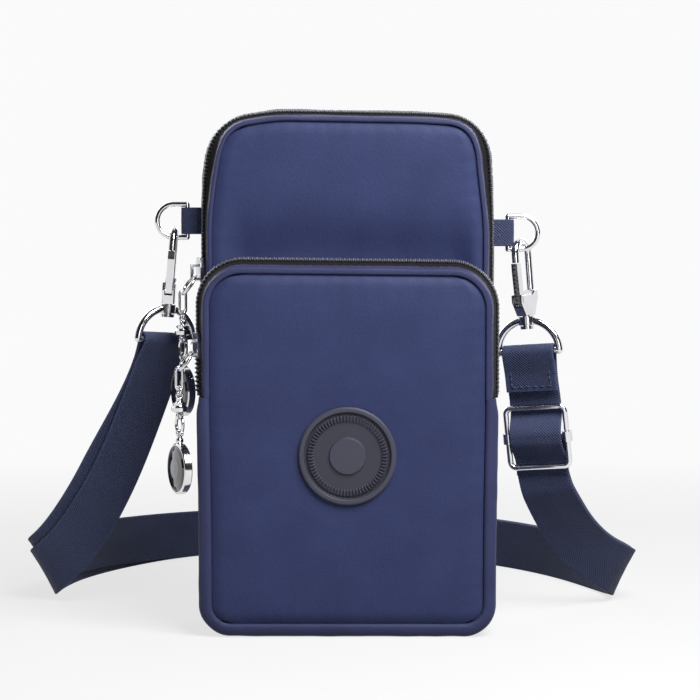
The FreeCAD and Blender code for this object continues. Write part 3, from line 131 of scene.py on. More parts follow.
@dataclass(frozen=True)
class BagSizes:
    """Sizes of the bag that its pieces share, in millimetres."""

    half_width: float = 55.0
    height: float = 192.5
    pocket_height: float = 137.0
    top_radius: float = 17.0
    bottom_radius: float = 12.0
    zip_end: float = 87.0
    front: float = -22.6
    middle: float = -2.6
    back: float = 24.4
    rim: float = 5.0
    rim_depth: float = 4.0
    wall: float = 1.8
    main_zip: float = 7.5
    pocket_zip: float = -12.5
    zip_half: float = 4.1
    zip_slope: float = 2.4
    strip_slope: float = 1.0
    panel_gap: float = 5.1
    badge: float = 66.4
    top_slope: float = 0.9
    shoulder: float = 2.6
    taper: float = 0.8
    left_droop: float = 3.4
    right_droop: float = 1.0
    left_draw: float = 1.3
    right_draw: float = 0.6

    @property
    def zip_tilt(self) -> float:
        """Angle by which each zip faces the front."""
        return math.atan2(self.zip_slope, 2 * self.zip_half)


SIZES = BagSizes()


def ripple(across: Array, along: Array, length: float, seed: int) -> Array:
    """A soft irregular wave: the mean of six sines whose directions and phases come from a seed.

    Args:
        across: First coordinate in millimetres.
        along: Second coordinate in millimetres.
        length: Typical wave length in millimetres.
        seed: Choice of the wave.

    Returns:
        Heights from about -1 to 1.
    """
    waves = 6
    gain = 1.6
    chance = np.random.default_rng(seed)
    angle = chance.uniform(0, TURN, waves)
    phase = chance.uniform(0, TURN, waves)
    stretch = chance.uniform(0.7, 1.5, waves)
    run = across[..., None] * np.cos(angle) + along[..., None] * np.sin(angle)
    return np.sin(TURN * run / (length * stretch) + phase).mean(axis=-1) * gain


def smooth_step(value: Array, low: float | Array, high: float | Array) -> Array:
    """Ease from 0 at low to 1 at high: three shares squared less two shares cubed.

    Args:
        value: Where the step is wanted.
        low: Where it starts.
        high: Where it ends.

    Returns:
        Numbers from 0 to 1.
    """
    share = np.clip((value - low) / (high - low), 0.0, 1.0)
    return share * share * (3 - 2 * share)


def unit(vectors: Array) -> Array:
    """Vectors divided by their lengths."""
    return vectors / np.linalg.norm(vectors, axis=-1, keepdims=True)


def distances(points: Array) -> Array:
    """Distance along a line at each of its points."""
    return np.concatenate([[0.0], np.cumsum(np.linalg.norm(np.diff(points, axis=0), axis=1))])


def slope(points: Array) -> Array:
    """Let the bag sag as in life: it falls a little from left to right and draws in at its shoulders.

    The height falls by top_slope times x over the half width times z over the height. The width draws in by
    shoulder times a wave of the height that rises below the top corners and dies out at the top edge, less
    behind the zip than in front of it. It tapers a little towards the bottom. Each top corner draws in and
    droops by its own amount. Nothing goes below the floor.

    Args:
        points: Points in millimetres, with x, y, z last.

    Returns:
        The moved points.
    """
    moved = points.copy()
    x, y, z = points[..., 0], points[..., 1], points[..., 2]
    share = x / SIZES.half_width
    in_front = 1 - 0.82 * smooth_step(y, 2.0, 9.0)
    at_shoulder = smooth_step(z, 146.0, 177.0) * (1 - smooth_step(z, 178.0, 193.0))
    at_bottom = 1 - smooth_step(z, 30.0, 95.0)
    at_top = smooth_step(z, 165.0, 184.0)
    at_corner = smooth_step(np.abs(x), 22.0, 52.0) * smooth_step(z, 150.0, 188.0)
    draw = np.where(x < 0, SIZES.left_draw, SIZES.right_draw)
    droop = np.where(x < 0, SIZES.left_droop, SIZES.right_droop)
    narrowed = SIZES.shoulder * at_shoulder * in_front + SIZES.taper * at_bottom + draw * at_top
    moved[..., 0] -= share * narrowed
    moved[..., 2] -= SIZES.top_slope * share * z / SIZES.height + droop * at_corner
    moved[..., 2] = np.maximum(moved[..., 2], 0.0)
    return moved


# Meshes


def cells(grid: Array) -> Array:
    """Corners of each cell of a grid, in order round it.

    Args:
        grid: Point numbers or surface coordinates on rows and columns.

    Returns:
        One cell a row, with its four corners.
    """
    corners = [grid[:-1, :-1], grid[:-1, 1:], grid[1:, 1:], grid[1:, :-1]]
    return np.stack(corners, axis=2).reshape(-1, 4, *grid.shape[2:])


@dataclass
class Patch:
    """A grid of points in millimetres with a surface coordinate for each, closed along its columns or open.

    A closed patch has one more column of surface coordinates than of points.
    """

    points: Array
    uv: Array
    closed: bool = False

    def faces(self) -> tuple[Array, Array]:
        """Cells of the patch and, on a closed one, cells that fill both ends between their opposite halves.

        Returns:
            Point numbers, four a row, and surface coordinates, four pairs a row.
        """
        rows, columns = self.points.shape[:2]
        number = np.arange(rows * columns).reshape(rows, columns)
        if not self.closed:
            return cells(number), cells(self.uv)
        looped = np.concatenate([number, number[:, :1]], axis=1)
        step = np.arange(columns // 2 - 1)
        end = np.stack([step, step + 1, columns - 2 - step, columns - 1 - step], axis=-1)
        ends = np.concatenate([end, end + (rows - 1) * columns])
        end_uv = self.uv[:, :columns].reshape(-1, 2)[ends]
        return np.concatenate([cells(looped), ends]), np.concatenate([cells(self.uv), end_uv])


def stitch_shape() -> Patch:
    """One stitch: six points round an oval at four places along it, sunk at its ends.

    Returns:
        A closed patch along x, raised in z.
    """
    length = 2.0
    thick = 0.2
    sides = 6
    along = np.array([-0.5, -0.3, 0.3, 0.5]) * length
    girth = np.array([0.35, 1.0, 1.0, 0.35])[:, None] * thick
    sink = np.array([-0.3, -0.06, -0.06, -0.3])[:, None]
    angle = np.arange(sides) / sides * TURN
    places = np.broadcast_to(along[:, None], (len(along), sides))
    points = np.stack([places, girth * np.cos(angle), girth * np.sin(angle) * 0.8 + sink], axis=-1)
    uv = np.stack(np.meshgrid(np.arange(sides + 1) / sides, along), axis=-1)
    return Patch(points, uv, closed=True)


STITCH = stitch_shape()


class PieceMesh:
    """Gathers patches and small copied shapes into the mesh of one piece."""

    def __init__(self, *patches: Patch) -> None:
        """Start with some patches.

        Args:
            patches: Grids that the piece has.
        """
        self.points: list[Array] = []
        self.quads: list[Array] = []
        self.uv: list[Array] = []
        self.count = 0
        for patch in patches:
            self.add(patch.points.reshape(-1, 3), *patch.faces())

    def add(self, points: Array, quads: Array, uv: Array) -> None:
        """Add points with their cells and the surface coordinates of the cells' corners.

        Args:
            points: Points in millimetres, one a row.
            quads: Point numbers, four a row.
            uv: Surface coordinates, four pairs a row.
        """
        self.points.append(points)
        self.quads.append(quads + self.count)
        self.uv.append(uv)
        self.count += len(points)

    def add_copies(self, shape: Patch, places: Array, frames: Array) -> None:
        """Add one small closed shape many times over.

        Args:
            shape: The shape about its own origin.
            places: Where each copy goes, one point a row.
            frames: For each copy the three directions that its x, y and z take.
        """
        local = shape.points.reshape(-1, 3)
        points = places[:, None, :] + np.einsum("pk,nkc->npc", local, frames)
        quads, uv = shape.faces()
        first = np.arange(len(places)) * len(local)
        self.add(
            points.reshape(-1, 3),
            (first[:, None, None] + quads[None]).reshape(-1, 4),
            np.broadcast_to(uv, (len(places), *uv.shape)).reshape(-1, 4, 2),
        )

    def sew(self, places: Array, along: Array | Triple, outward: Array | Triple) -> None:
        """Add stitches, each laid along one direction and raised in another.

        Args:
            places: Points in millimetres.
            along: Directions of the thread, or one for all.
            outward: Directions off the cloth, or one for all.
        """
        along = np.broadcast_to(along, places.shape)
        outward = np.broadcast_to(outward, places.shape)
        self.add_copies(STITCH, places, np.stack([along, np.cross(outward, along), outward], axis=1))

    def to_object(self, name: str, material: Material) -> Object:
        """Make the mesh and its object, with faces outwards and edges sharper than the crease kept.

        Args:
            name: Name of the piece.
            material: Its finish.

        Returns:
            The new object, at the origin.
        """
        points = np.concatenate(self.points) * MM
        quads = np.concatenate(self.quads).astype(np.int32)
        mesh = bpy.data.meshes.new(name)
        mesh.vertices.add(len(points))
        mesh.vertices.foreach_set("co", points.astype(np.float32).ravel())
        mesh.loops.add(quads.size)
        mesh.loops.foreach_set("vertex_index", quads.ravel())
        mesh.polygons.add(len(quads))
        mesh.polygons.foreach_set("loop_start", np.arange(0, quads.size, 4, dtype=np.int32))
        layer = mesh.uv_layers.new(name="UVMap")
        layer.data.foreach_set("uv", np.concatenate(self.uv).astype(np.float32).ravel())
        mesh.update(calc_edges=True)
        mesh.validate()
        edit = bmesh.new()
        edit.from_mesh(mesh)
        bmesh.ops.recalc_face_normals(edit, faces=edit.faces)
        edit.to_mesh(mesh)
        edit.free()
        mesh.shade_smooth()
        mesh.set_sharp_from_angle(angle=CREASE)
        mesh.materials.append(material)
        piece = bpy.data.objects.new(name, mesh)
        bpy.context.scene.collection.objects.link(piece)
        return piece


# Finishes


class Value:
    """A socket on which Python's operators add Math nodes."""

    def __init__(self, graph: "Graph", socket: Any) -> None:
        """Wrap one output socket of a graph."""
        self.graph = graph
        self.socket = socket

    def math(self, operation: str, *operands: Any) -> "Value":
        """A Math node of these operands, in their order."""
        return self.graph.node("ShaderNodeMath", dict(enumerate(operands)), operation=operation)

    def __add__(self, other: Any) -> "Value":
        """Sum."""
        return self.math("ADD", self, other)

    def __radd__(self, other: Any) -> "Value":
        """Sum with a number first."""
        return self.math("ADD", other, self)

    def __sub__(self, other: Any) -> "Value":
        """Difference."""
        return self.math("SUBTRACT", self, other)

    def __rsub__(self, other: Any) -> "Value":
        """Difference from a number."""
        return self.math("SUBTRACT", other, self)

    def __mul__(self, other: Any) -> "Value":
        """Product."""
        return self.math("MULTIPLY", self, other)

    def __rmul__(self, other: Any) -> "Value":
        """Product with a number first."""
        return self.math("MULTIPLY", other, self)

    def __truediv__(self, other: Any) -> "Value":
        """Quotient."""
        return self.math("DIVIDE", self, other)

    def __rtruediv__(self, other: Any) -> "Value":
        """Quotient with a number first."""
        return self.math("DIVIDE", other, self)

    def __pow__(self, other: Any) -> "Value":
        """Power."""
        return self.math("POWER", self, other)

    def __neg__(self) -> "Value":
        """The same size with the other sign."""
        return self.math("MULTIPLY", self, -1.0)

    def __abs__(self) -> "Value":
        """Size without its sign."""
        return self.math("ABSOLUTE", self)

    def wave(self, length: float) -> "Value":
        """Sine of this coordinate with a wave length, from -1 to 1."""
        return self.math("SINE", self * (TURN / length))

    def hills(self, length: float) -> "Value":
        """The same wave raised to run from 0 to 1."""
        return self.wave(length) * 0.5 + 0.5

    def zigzag(self) -> "Value":
        """This value run up and down between 0 and 1."""
        return self.math("PINGPONG", self, 1.0)

    def bounded(self) -> "Value":
        """This value held between 0 and 1."""
        return self.graph.node("ShaderNodeClamp", {0: self, 1: 0.0, 2: 1.0})

    def bell(self, middle: float, width: float) -> "Value":
        """A smooth hill of height 1: one over one plus the squared distance from its middle in widths."""
        away = (self - middle) * (1.0 / width)
        return 1.0 / (1.0 + away * away)

    def sibling(self, name: Any) -> "Value":
        """Another output of the same node."""
        return Value(self.graph, self.socket.node.outputs[name])


class Graph:
    """The node tree of one material or of the surroundings."""

    def __init__(self, holder: Material | bpy.types.World) -> None:
        """Start with an empty tree.

        Args:
            holder: Material or world that the tree is in.
        """
        self.holder = holder
        holder.use_nodes = True
        self.tree = holder.node_tree
        self.tree.nodes.clear()

    @classmethod
    def material(cls, name: str) -> "Graph":
        """The empty tree of a new material."""
        return cls(bpy.data.materials.new(name))

    def node(self, kind: str, inputs: dict[Any, Any], output: Any = 0, **settings: Any) -> Value:
        """Add a node.

        Args:
            kind: Blender's name of the node's type.
            inputs: Values or links by socket name or number.
            output: Socket that is handed back.
            settings: Properties that are set before the sockets.

        Returns:
            The chosen output, empty on a node that has none.
        """
        made = self.tree.nodes.new(kind)
        for name, setting in settings.items():
            setattr(made, name, setting)
        for key, content in inputs.items():
            if isinstance(content, Value):
                self.tree.links.new(content.socket, made.inputs[key])
            else:
                made.inputs[key].default_value = content
        return Value(self, made.outputs[output] if made.outputs else None)

    def split(self, vector: Value) -> tuple[Value, Value, Value]:
        """The three numbers of a vector."""
        first = self.node("ShaderNodeSeparateXYZ", {0: vector})
        return first, first.sibling(1), first.sibling(2)

    def surface_coordinates(self) -> tuple[Value, Value]:
        """The piece's own surface coordinates in millimetres."""
        return self.split(self.node("ShaderNodeUVMap", {}, uv_map="UVMap"))[:2]

    def object_point(self) -> Value:
        """The point in the part's frame."""
        return self.node("ShaderNodeTexCoord", {}, "Object")

    def seen_rays(self) -> Value:
        """1 for rays from the camera and for those that a mirror or glass passes on, otherwise 0."""
        camera = self.node("ShaderNodeLightPath", {}, "Is Camera Ray")
        return (camera + camera.sibling("Is Glossy Ray") + camera.sibling("Is Transmission Ray")).bounded()

    def noise(self, waves: float, detail: float) -> Value:
        """Noise from about 0 to 1 on the object, at a number of waves for each metre."""
        inputs = {"Vector": self.object_point(), "Scale": waves, "Detail": detail}
        return self.node("ShaderNodeTexNoise", inputs)

    def mix(self, share: Value, first: Any, second: Any) -> Value:
        """A colour between two colours."""
        inputs = {0: share, 6: first, 7: second}
        return self.node("ShaderNodeMix", inputs, 2, data_type="RGBA", clamp_factor=True)

    def bump(self, height: Value, strength: float, distance: float) -> Value:
        """A normal bent by a height."""
        return self.node("ShaderNodeBump", {"Strength": strength, "Distance": distance, "Height": height})

    def close(self, sockets: dict[str, Any]) -> Material:
        """End the material in a Principled shader.

        Args:
            sockets: Values or links by the shader's socket names.

        Returns:
            The finished material.
        """
        shader = self.node("ShaderNodeBsdfPrincipled", sockets)
        self.node("ShaderNodeOutputMaterial", {"Surface": shader})
        return self.holder


def shade(colour: Triple, factor: float = 1.0) -> Colour:
    """A colour made darker or lighter, with full alpha."""
    red, green, blue = (min(part * factor, 1.0) for part in colour)
    return red, green, blue, 1.0


def grey(tone: float) -> Colour:
    """An even grey, with full alpha."""
    return shade((tone, tone, tone))


@dataclass(frozen=True)
class Finish:
    """A finish by its name and main colour; each kind says what goes on the shader's sockets."""

    name: str
    colour: Triple

    def sockets(self, graph: Graph) -> dict[str, Any]:
        """What the kind of finish puts on the shader.

        Args:
            graph: The material's tree.

        Returns:
            Values and links by socket name.
        """
        raise NotImplementedError

    def toned(self, share: Value, dark: float, light: float) -> Value:
        """The main colour between a darker and a lighter tone of it."""
        return share.graph.mix(share, shade(self.colour, dark), shade(self.colour, light))

    def build(self) -> Material:
        """The finished material."""
        graph = Graph.material(self.name)
        return graph.close(self.sockets(graph))


@dataclass(frozen=True)
class WovenNylon(Finish):
    """Plain weave nylon: fine crossed threads, soft creases and a dull sheen."""

    thread: float = 0.62
    rough: float = 0.5

    def sockets(self, graph: Graph) -> dict[str, Any]:
        """The weave is the product of two waves, one along each surface coordinate.

        Args:
            graph: The material's tree.

        Returns:
            Values and links by socket name.
        """
        across, along = graph.surface_coordinates()
        broad = graph.noise(waves=55.0, detail=4.0)
        fine = graph.noise(waves=900.0, detail=2.0)
        crease = graph.noise(waves=160.0, detail=3.0)
        weave = across.wave(self.thread) * along.wave(self.thread)
        tone = (broad * 0.75 + fine * 0.35 + weave * 0.04 - 0.05).bounded()
        height = weave * 0.12 + fine * 0.5 + crease * 0.6
        return {
            "Base Color": self.toned(tone, dark=0.70, light=1.34),
            "Roughness": self.rough + (fine - 0.5) * 0.22,
            "Normal": graph.bump(height, strength=0.55, distance=0.00028),
            "Sheen Weight": 0.03,
            "Sheen Roughness": 0.45,
            "Specular IOR Level": 0.16,
        }


@dataclass(frozen=True)
class TwillWebbing(Finish):
    """Herringbone webbing: slanted ribs that turn back at each rib row, with firm woven edges."""

    rib: float = 1.1
    yarn: float = 0.5
    bead: float = 0.9
    row: float = 10.0
    middle: float = 10.0
    plain: float = 9.0

    def sockets(self, graph: Graph) -> dict[str, Any]:
        """Ribs and yarns are waves along the band, slanted by the zigzag of the rows; beads line its edges.

        Args:
            graph: The material's tree.

        Returns:
            Values and links by socket name.
        """
        across, along = graph.surface_coordinates()
        slant = (across / self.row).zigzag() * self.row
        rib = (slant + along).hills(self.rib)
        yarn = (slant - along).hills(self.yarn)
        grain = graph.noise(waves=1300.0, detail=2.0)
        broad = graph.noise(waves=40.0, detail=3.0)
        edge = ((abs(across - self.middle) - self.plain) * 1.6).bounded()
        bead = edge * along.hills(self.bead)
        tone = (rib * 0.42 + yarn * 0.14 + grain * 0.32 + (broad - 0.5) * 0.6 + bead * 0.5).bounded()
        height = rib * 0.8 + yarn * 0.2 + grain * 0.25 + bead
        return {
            "Base Color": self.toned(tone, dark=0.6, light=1.5),
            "Roughness": 0.72 - rib * 0.14,
            "Normal": graph.bump(height, strength=0.6, distance=0.0003),
            "Sheen Weight": 0.03,
            "Sheen Roughness": 0.5,
            "Specular IOR Level": 0.18,
        }


@dataclass(frozen=True)
class PlainThread(Finish):
    """Sewing thread with a tight twist."""

    twist: float = 0.4

    def sockets(self, graph: Graph) -> dict[str, Any]:
        """The twist is one slanted wave.

        Args:
            graph: The material's tree.

        Returns:
            Values and links by socket name.
        """
        across, along = graph.surface_coordinates()
        twist = (along + across).hills(self.twist)
        return {
            "Base Color": self.toned(twist, dark=0.7, light=1.25),
            "Roughness": 0.6 - twist * 0.1,
            "Normal": graph.bump(twist, strength=0.4, distance=0.0001),
        }


@dataclass(frozen=True)
class PolishedStone(Finish):
    """Dark enamel under a clear coat: a faint grain and patchy gloss."""

    rough: float = 0.05

    def sockets(self, graph: Graph) -> dict[str, Any]:
        """Broad patches and a fine grain vary the tone and the gloss.

        Args:
            graph: The material's tree.

        Returns:
            Values and links by socket name.
        """
        fine = graph.noise(waves=1800.0, detail=2.0)
        broad = graph.noise(waves=120.0, detail=3.0)
        tone = (broad * 0.8 + fine * 0.3 - 0.05).bounded()
        return {
            "Base Color": self.toned(tone, dark=0.78, light=1.22),
            "Roughness": self.rough + (broad - 0.5) * 0.16 + (fine - 0.5) * 0.08,
            "Normal": graph.bump(fine + broad * 0.5, strength=0.02, distance=0.0001),
            "Coat Weight": 1.0,
            "Coat Roughness": 0.08,
        }


@dataclass(frozen=True)
class CoilNylon(Finish):
    """Nylon zip coil: black, with a painted highlight that makes the crown of each tooth lighter; the crown
    is also smoother.
    """

    # Colour of the painted highlight on each tooth's crown.
    painted_glint_colour: Triple

    def sockets(self, graph: Graph) -> dict[str, Any]:
        """The crown, where the highlight is painted, is a hill on the surface coordinates, the share round a
        tooth and the distance along it.

        Args:
            graph: The material's tree.

        Returns:
            Values and links by socket name.
        """
        around, along = graph.surface_coordinates()
        grain = graph.noise(waves=900.0, detail=2.0)
        crown = around.bell(middle=0.19, width=0.08) * along.bell(middle=0.8, width=0.6)
        # Painted highlight: the crown, with some grain, sets how much of the lighter colour and the lower
        # roughness each spot gets.
        painted_glint_share = (crown * (0.7 + grain * 0.6)).bounded()
        return {
            "Base Color": graph.mix(painted_glint_share, shade(self.colour), shade(self.painted_glint_colour)),
            "Roughness": 0.42 - painted_glint_share * 0.2,
            "Normal": graph.bump(grain, strength=0.2, distance=0.0001),
        }


@dataclass(frozen=True)
class BadgeRubber(Finish):
    """Moulded rubber with painted shade in its sunk places and a painted highlight on its raised ones."""

    floor: float
    top: float

    def sockets(self, graph: Graph) -> dict[str, Any]:
        """The second surface coordinate is the height in millimetres, which sets the gloss and the tone:
        painted shade where it is low, a painted highlight where it is high.

        Args:
            graph: The material's tree.

        Returns:
            Values and links by socket name.
        """
        _, height = graph.surface_coordinates()
        fine = graph.noise(waves=1500.0, detail=2.0)
        broad = graph.noise(waves=110.0, detail=3.0)
        # Painted shade and highlight: the share of the height darkens the sunk places and lightens the raised
        # ones.
        raised = ((height - self.floor) / (self.top - self.floor)).bounded() ** 0.5
        tone = (raised * 0.8 + broad * 0.2 + fine * 0.12 - 0.06).bounded()
        return {
            "Base Color": self.toned(tone, dark=0.3, light=1.05),
            "Roughness": 0.6 - raised * 0.14 + (fine - 0.5) * 0.1,
            "Normal": graph.bump(fine + broad * 0.4, strength=0.25, distance=0.0001),
            "Specular IOR Level": 0.35,
        }


@dataclass(frozen=True)
class PlatedMetal(Finish):
    """Polished plate over a casting: bright, with handling smears and faint waves from polishing."""

    rough: float = 0.09

    def sockets(self, graph: Graph) -> dict[str, Any]:
        """Smears vary the tone and the gloss, and fine scratches the gloss alone.

        Args:
            graph: The material's tree.

        Returns:
            Values and links by socket name.
        """
        smear = graph.noise(waves=260.0, detail=4.0)
        scratch = graph.noise(waves=2400.0, detail=2.0)
        return {
            "Base Color": self.toned(smear, dark=0.88, light=1.06),
            "Metallic": 1.0,
            "Roughness": self.rough + smear * 0.08 + (scratch - 0.5) * 0.05,
            "Normal": graph.bump(smear + scratch * 0.15, strength=0.12, distance=0.0002),
        }


FINISHES: dict[Slot, Finish] = {
    Slot.PANEL: WovenNylon("navy_panel_nylon", (0.0294, 0.0388, 0.109)),
    Slot.STRIP: WovenNylon("navy_strip_nylon", (0.035, 0.040, 0.100), thread=0.55),
    Slot.WEBBING: TwillWebbing("navy_webbing", (0.040, 0.050, 0.105)),
    Slot.TAPE: WovenNylon("black_zip_tape", (0.009, 0.009, 0.011), thread=0.4, rough=0.7),
    # The coil's second colour is a painted highlight for the teeth's crowns.
    Slot.TEETH: CoilNylon("black_zip_coil", (0.007, 0.007, 0.009), painted_glint_colour=(0.26, 0.26, 0.28)),
    Slot.SLIDER: PlatedMetal("plated_slider", (0.76, 0.76, 0.78), rough=0.14),
    Slot.CHROME: PlatedMetal("polished_chrome", (0.80, 0.80, 0.82)),
    Slot.SPRING: PlatedMetal("spring_wire", (0.58, 0.58, 0.60), rough=0.25),
    Slot.BADGE: BadgeRubber("badge_rubber", (0.054, 0.055, 0.082), floor=0.7, top=2.0),
    Slot.STONE: PolishedStone("charm_stone", (0.006, 0.006, 0.008)),
}
RIGID_SLOTS = (Slot.SLIDER, Slot.CHROME, Slot.SPRING, Slot.STONE)


class Wardrobe:
    """Every finish of the part, made once, and the pieces that are made in them."""

    def __init__(self) -> None:
        """Make the materials."""
        self.by_slot = {slot: finish.build() for slot, finish in FINISHES.items()}
        self.thread = PlainThread("navy_thread", (0.05, 0.058, 0.14)).build()

    def make(self, name: str, mesh: PieceMesh, slot: Slot, carry: Carry, nodes: Sequence[str] = (),
             fill: float | None = None) -> Object:
        """Make a piece in the finish of its slot, apply its carry and hide the nodes that it stands for.

        Args:
            name: Name of the piece.
            mesh: Its points and faces.
            slot: Material slot of the record.
            carry: How it moves.
            nodes: Nodes that it replaces; a piece without any is sewing thread.
            fill: How full a padded piece is; not used.

        Returns:
            The new object.
        """
        piece = mesh.to_object(name, self.by_slot[slot] if nodes else self.thread)
        if nodes:
            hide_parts(*nodes)
        carry.apply(piece)
        LOG.info("%s: %d faces", name, len(piece.data.polygons))
        return piece


@dataclass
class SubAssembly:
    """A group of pieces that belong together and share one wardrobe."""

    wardrobe: Wardrobe


# Paths and profiles


@dataclass(frozen=True)
class SidePath:
    """Outline of the bag seen from the front, from zip end to zip end over the top or round the bottom."""

    level: float
    radius: float
    rise: float
    half: float = SIZES.half_width

    @property
    def leg(self) -> float:
        """Length of each upright stretch."""
        return abs(self.level - SIZES.zip_end) - self.radius

    @property
    def bend(self) -> float:
        """Length of each rounded corner."""
        return self.radius * math.pi / 2

    @property
    def flat(self) -> float:
        """Length of the level stretch."""
        return 2 * (self.half - self.radius)

    @property
    def length(self) -> float:
        """Length from end to end."""
        return 2 * (self.leg + self.bend) + self.flat

    def at(self, distance: Array) -> tuple[Array, Array, Array]:
        """Points, outward directions and directions along the path.

        The corner's centre slides with the upright and level stretches, and the point is one radius outwards.

        Args:
            distance: Distances from the left zip end in millimetres.

        Returns:
            Three arrays with x, y, z last, in the plane y = 0.
        """
        second = self.leg + self.bend + self.flat
        turned = np.clip(distance - self.leg, 0, self.bend) + np.clip(distance - second, 0, self.bend)
        angle = math.pi - self.rise * turned / self.radius
        zero = np.zeros_like(angle)
        outward = np.stack([np.cos(angle), zero, np.sin(angle)], axis=-1)
        along = np.stack([np.sin(angle), zero, -np.cos(angle)], axis=-1) * self.rise
        centre_x = -self.half + self.radius + np.clip(distance - self.leg - self.bend, 0, self.flat)
        climbed = np.clip(distance, 0, self.leg) - np.clip(distance - second - self.bend, 0, self.leg)
        centre_z = SIZES.zip_end + self.rise * climbed
        centre = np.stack([centre_x, zero, centre_z], axis=-1)
        return centre + outward * self.radius, outward, along

    def inset(self, depth: float) -> "SidePath":
        """The same path drawn inwards."""
        return SidePath(self.level - self.rise * depth, self.radius - depth, self.rise, self.half - depth)


MAIN_ARCH = SidePath(SIZES.height, SIZES.top_radius, rise=1.0)
POCKET_ARCH = SidePath(SIZES.pocket_height, SIZES.top_radius, rise=1.0)
POCKET_BULGE = POCKET_ARCH.inset(-1.0)
CUP = SidePath(0.0, SIZES.bottom_radius, rise=-1.0)


def rounded_loop(corners: Sequence[Triple]) -> Array:
    """A closed outline with each corner replaced by a parabola that leaves its sides one radius away.

    Args:
        corners: For each corner its depth, its y and its radius.

    Returns:
        Points of depth and y, an even number of them.
    """
    spacing = 1.6
    corner_points = 5
    places = np.array([corner[:2] for corner in corners])
    radii = np.array([corner[2] for corner in corners])[:, None]
    first = places + unit(np.roll(places, 1, axis=0) - places) * radii
    last = places + unit(np.roll(places, -1, axis=0) - places) * radii
    share = np.linspace(0, 1, corner_points)[:, None]
    rest = 1 - share
    loop = []
    for start, place, end, following in zip(first, places, last, np.roll(first, -1, axis=0)):
        loop.append(rest ** 2 * start + 2 * share * rest * place + share ** 2 * end)
        count = int(np.linalg.norm(following - end) / spacing)
        inner = np.linspace(0, 1, count + 2)[1:-1, None]
        loop.append(end * (1 - inner) + following * inner)
    outline = np.concatenate(loop)
    return outline if len(outline) % 2 == 0 else outline[:-1]


def carried(path: SidePath, corners: Sequence[Triple], seed: int, lift: float = 0.0,
            pinch: float = 0.0) -> Patch:
    """A rounded outline carried along a side path, its outer side rippled as sewn cloth is.

    Each point is the path's point, moved inwards by the outline's depth and to the outline's y. The outer
    side is raised by lift times a broad and a short ripple, and drawn in by pinch at both ends of the path.

    Args:
        path: Path round the bag.
        corners: For each corner of the outline its depth, its y and its radius.
        seed: Choice of the ripples.
        lift: Height of the ripples in millimetres.
        pinch: How far the outer side is drawn in at both ends.

    Returns:
        A closed patch.
    """
    spacing = 1.5
    end_length = 6.0
    broad_wave = 26.0
    short_wave = 9.0
    profile = rounded_loop(corners)
    distance = np.linspace(0.0, path.length, int(path.length / spacing) + 1)
    place, outward, _ = path.at(distance)
    depth = np.broadcast_to(profile[:, 0], (len(distance), len(profile)))
    width = np.broadcast_to(profile[:, 1], depth.shape)
    reach = np.broadcast_to(distance[:, None], depth.shape)
    skin = 1 - smooth_step(depth - profile[:, 0].min(), 0.3, 1.6)
    inside = smooth_step(np.minimum(reach, path.length - reach), 0.0, end_length)
    wave = ripple(width * 1.5, reach, broad_wave, seed) + 0.6 * ripple(width, reach, short_wave, seed + 1)
    depth = depth + skin * (1 - inside) * pinch - skin * inside * lift * (wave - 0.3)
    points = place[:, None, :] - outward[:, None, :] * depth[..., None]
    points[..., 1] = width
    around = distances(np.concatenate([profile, profile[:1]]))
    return Patch(slope(points), np.stack(np.meshgrid(around, distance), axis=-1), closed=True)


# Shell

# Settings of the short cloth simulation, its length in frames, and how often its result is eased.
CLOTH_SETTINGS: dict[str, Any] = {
    "quality": 4,
    "mass": 0.2,
    "tension_stiffness": 25,
    "compression_stiffness": 25,
    "bending_stiffness": 0.6,
    "vertex_group_mass": "border",
    "shrink_min": -0.004,
    "use_pressure": True,
    "uniform_pressure_force": 3.0,
}
CLOTH_FRAMES = 18
CLOTH_EASING = 25


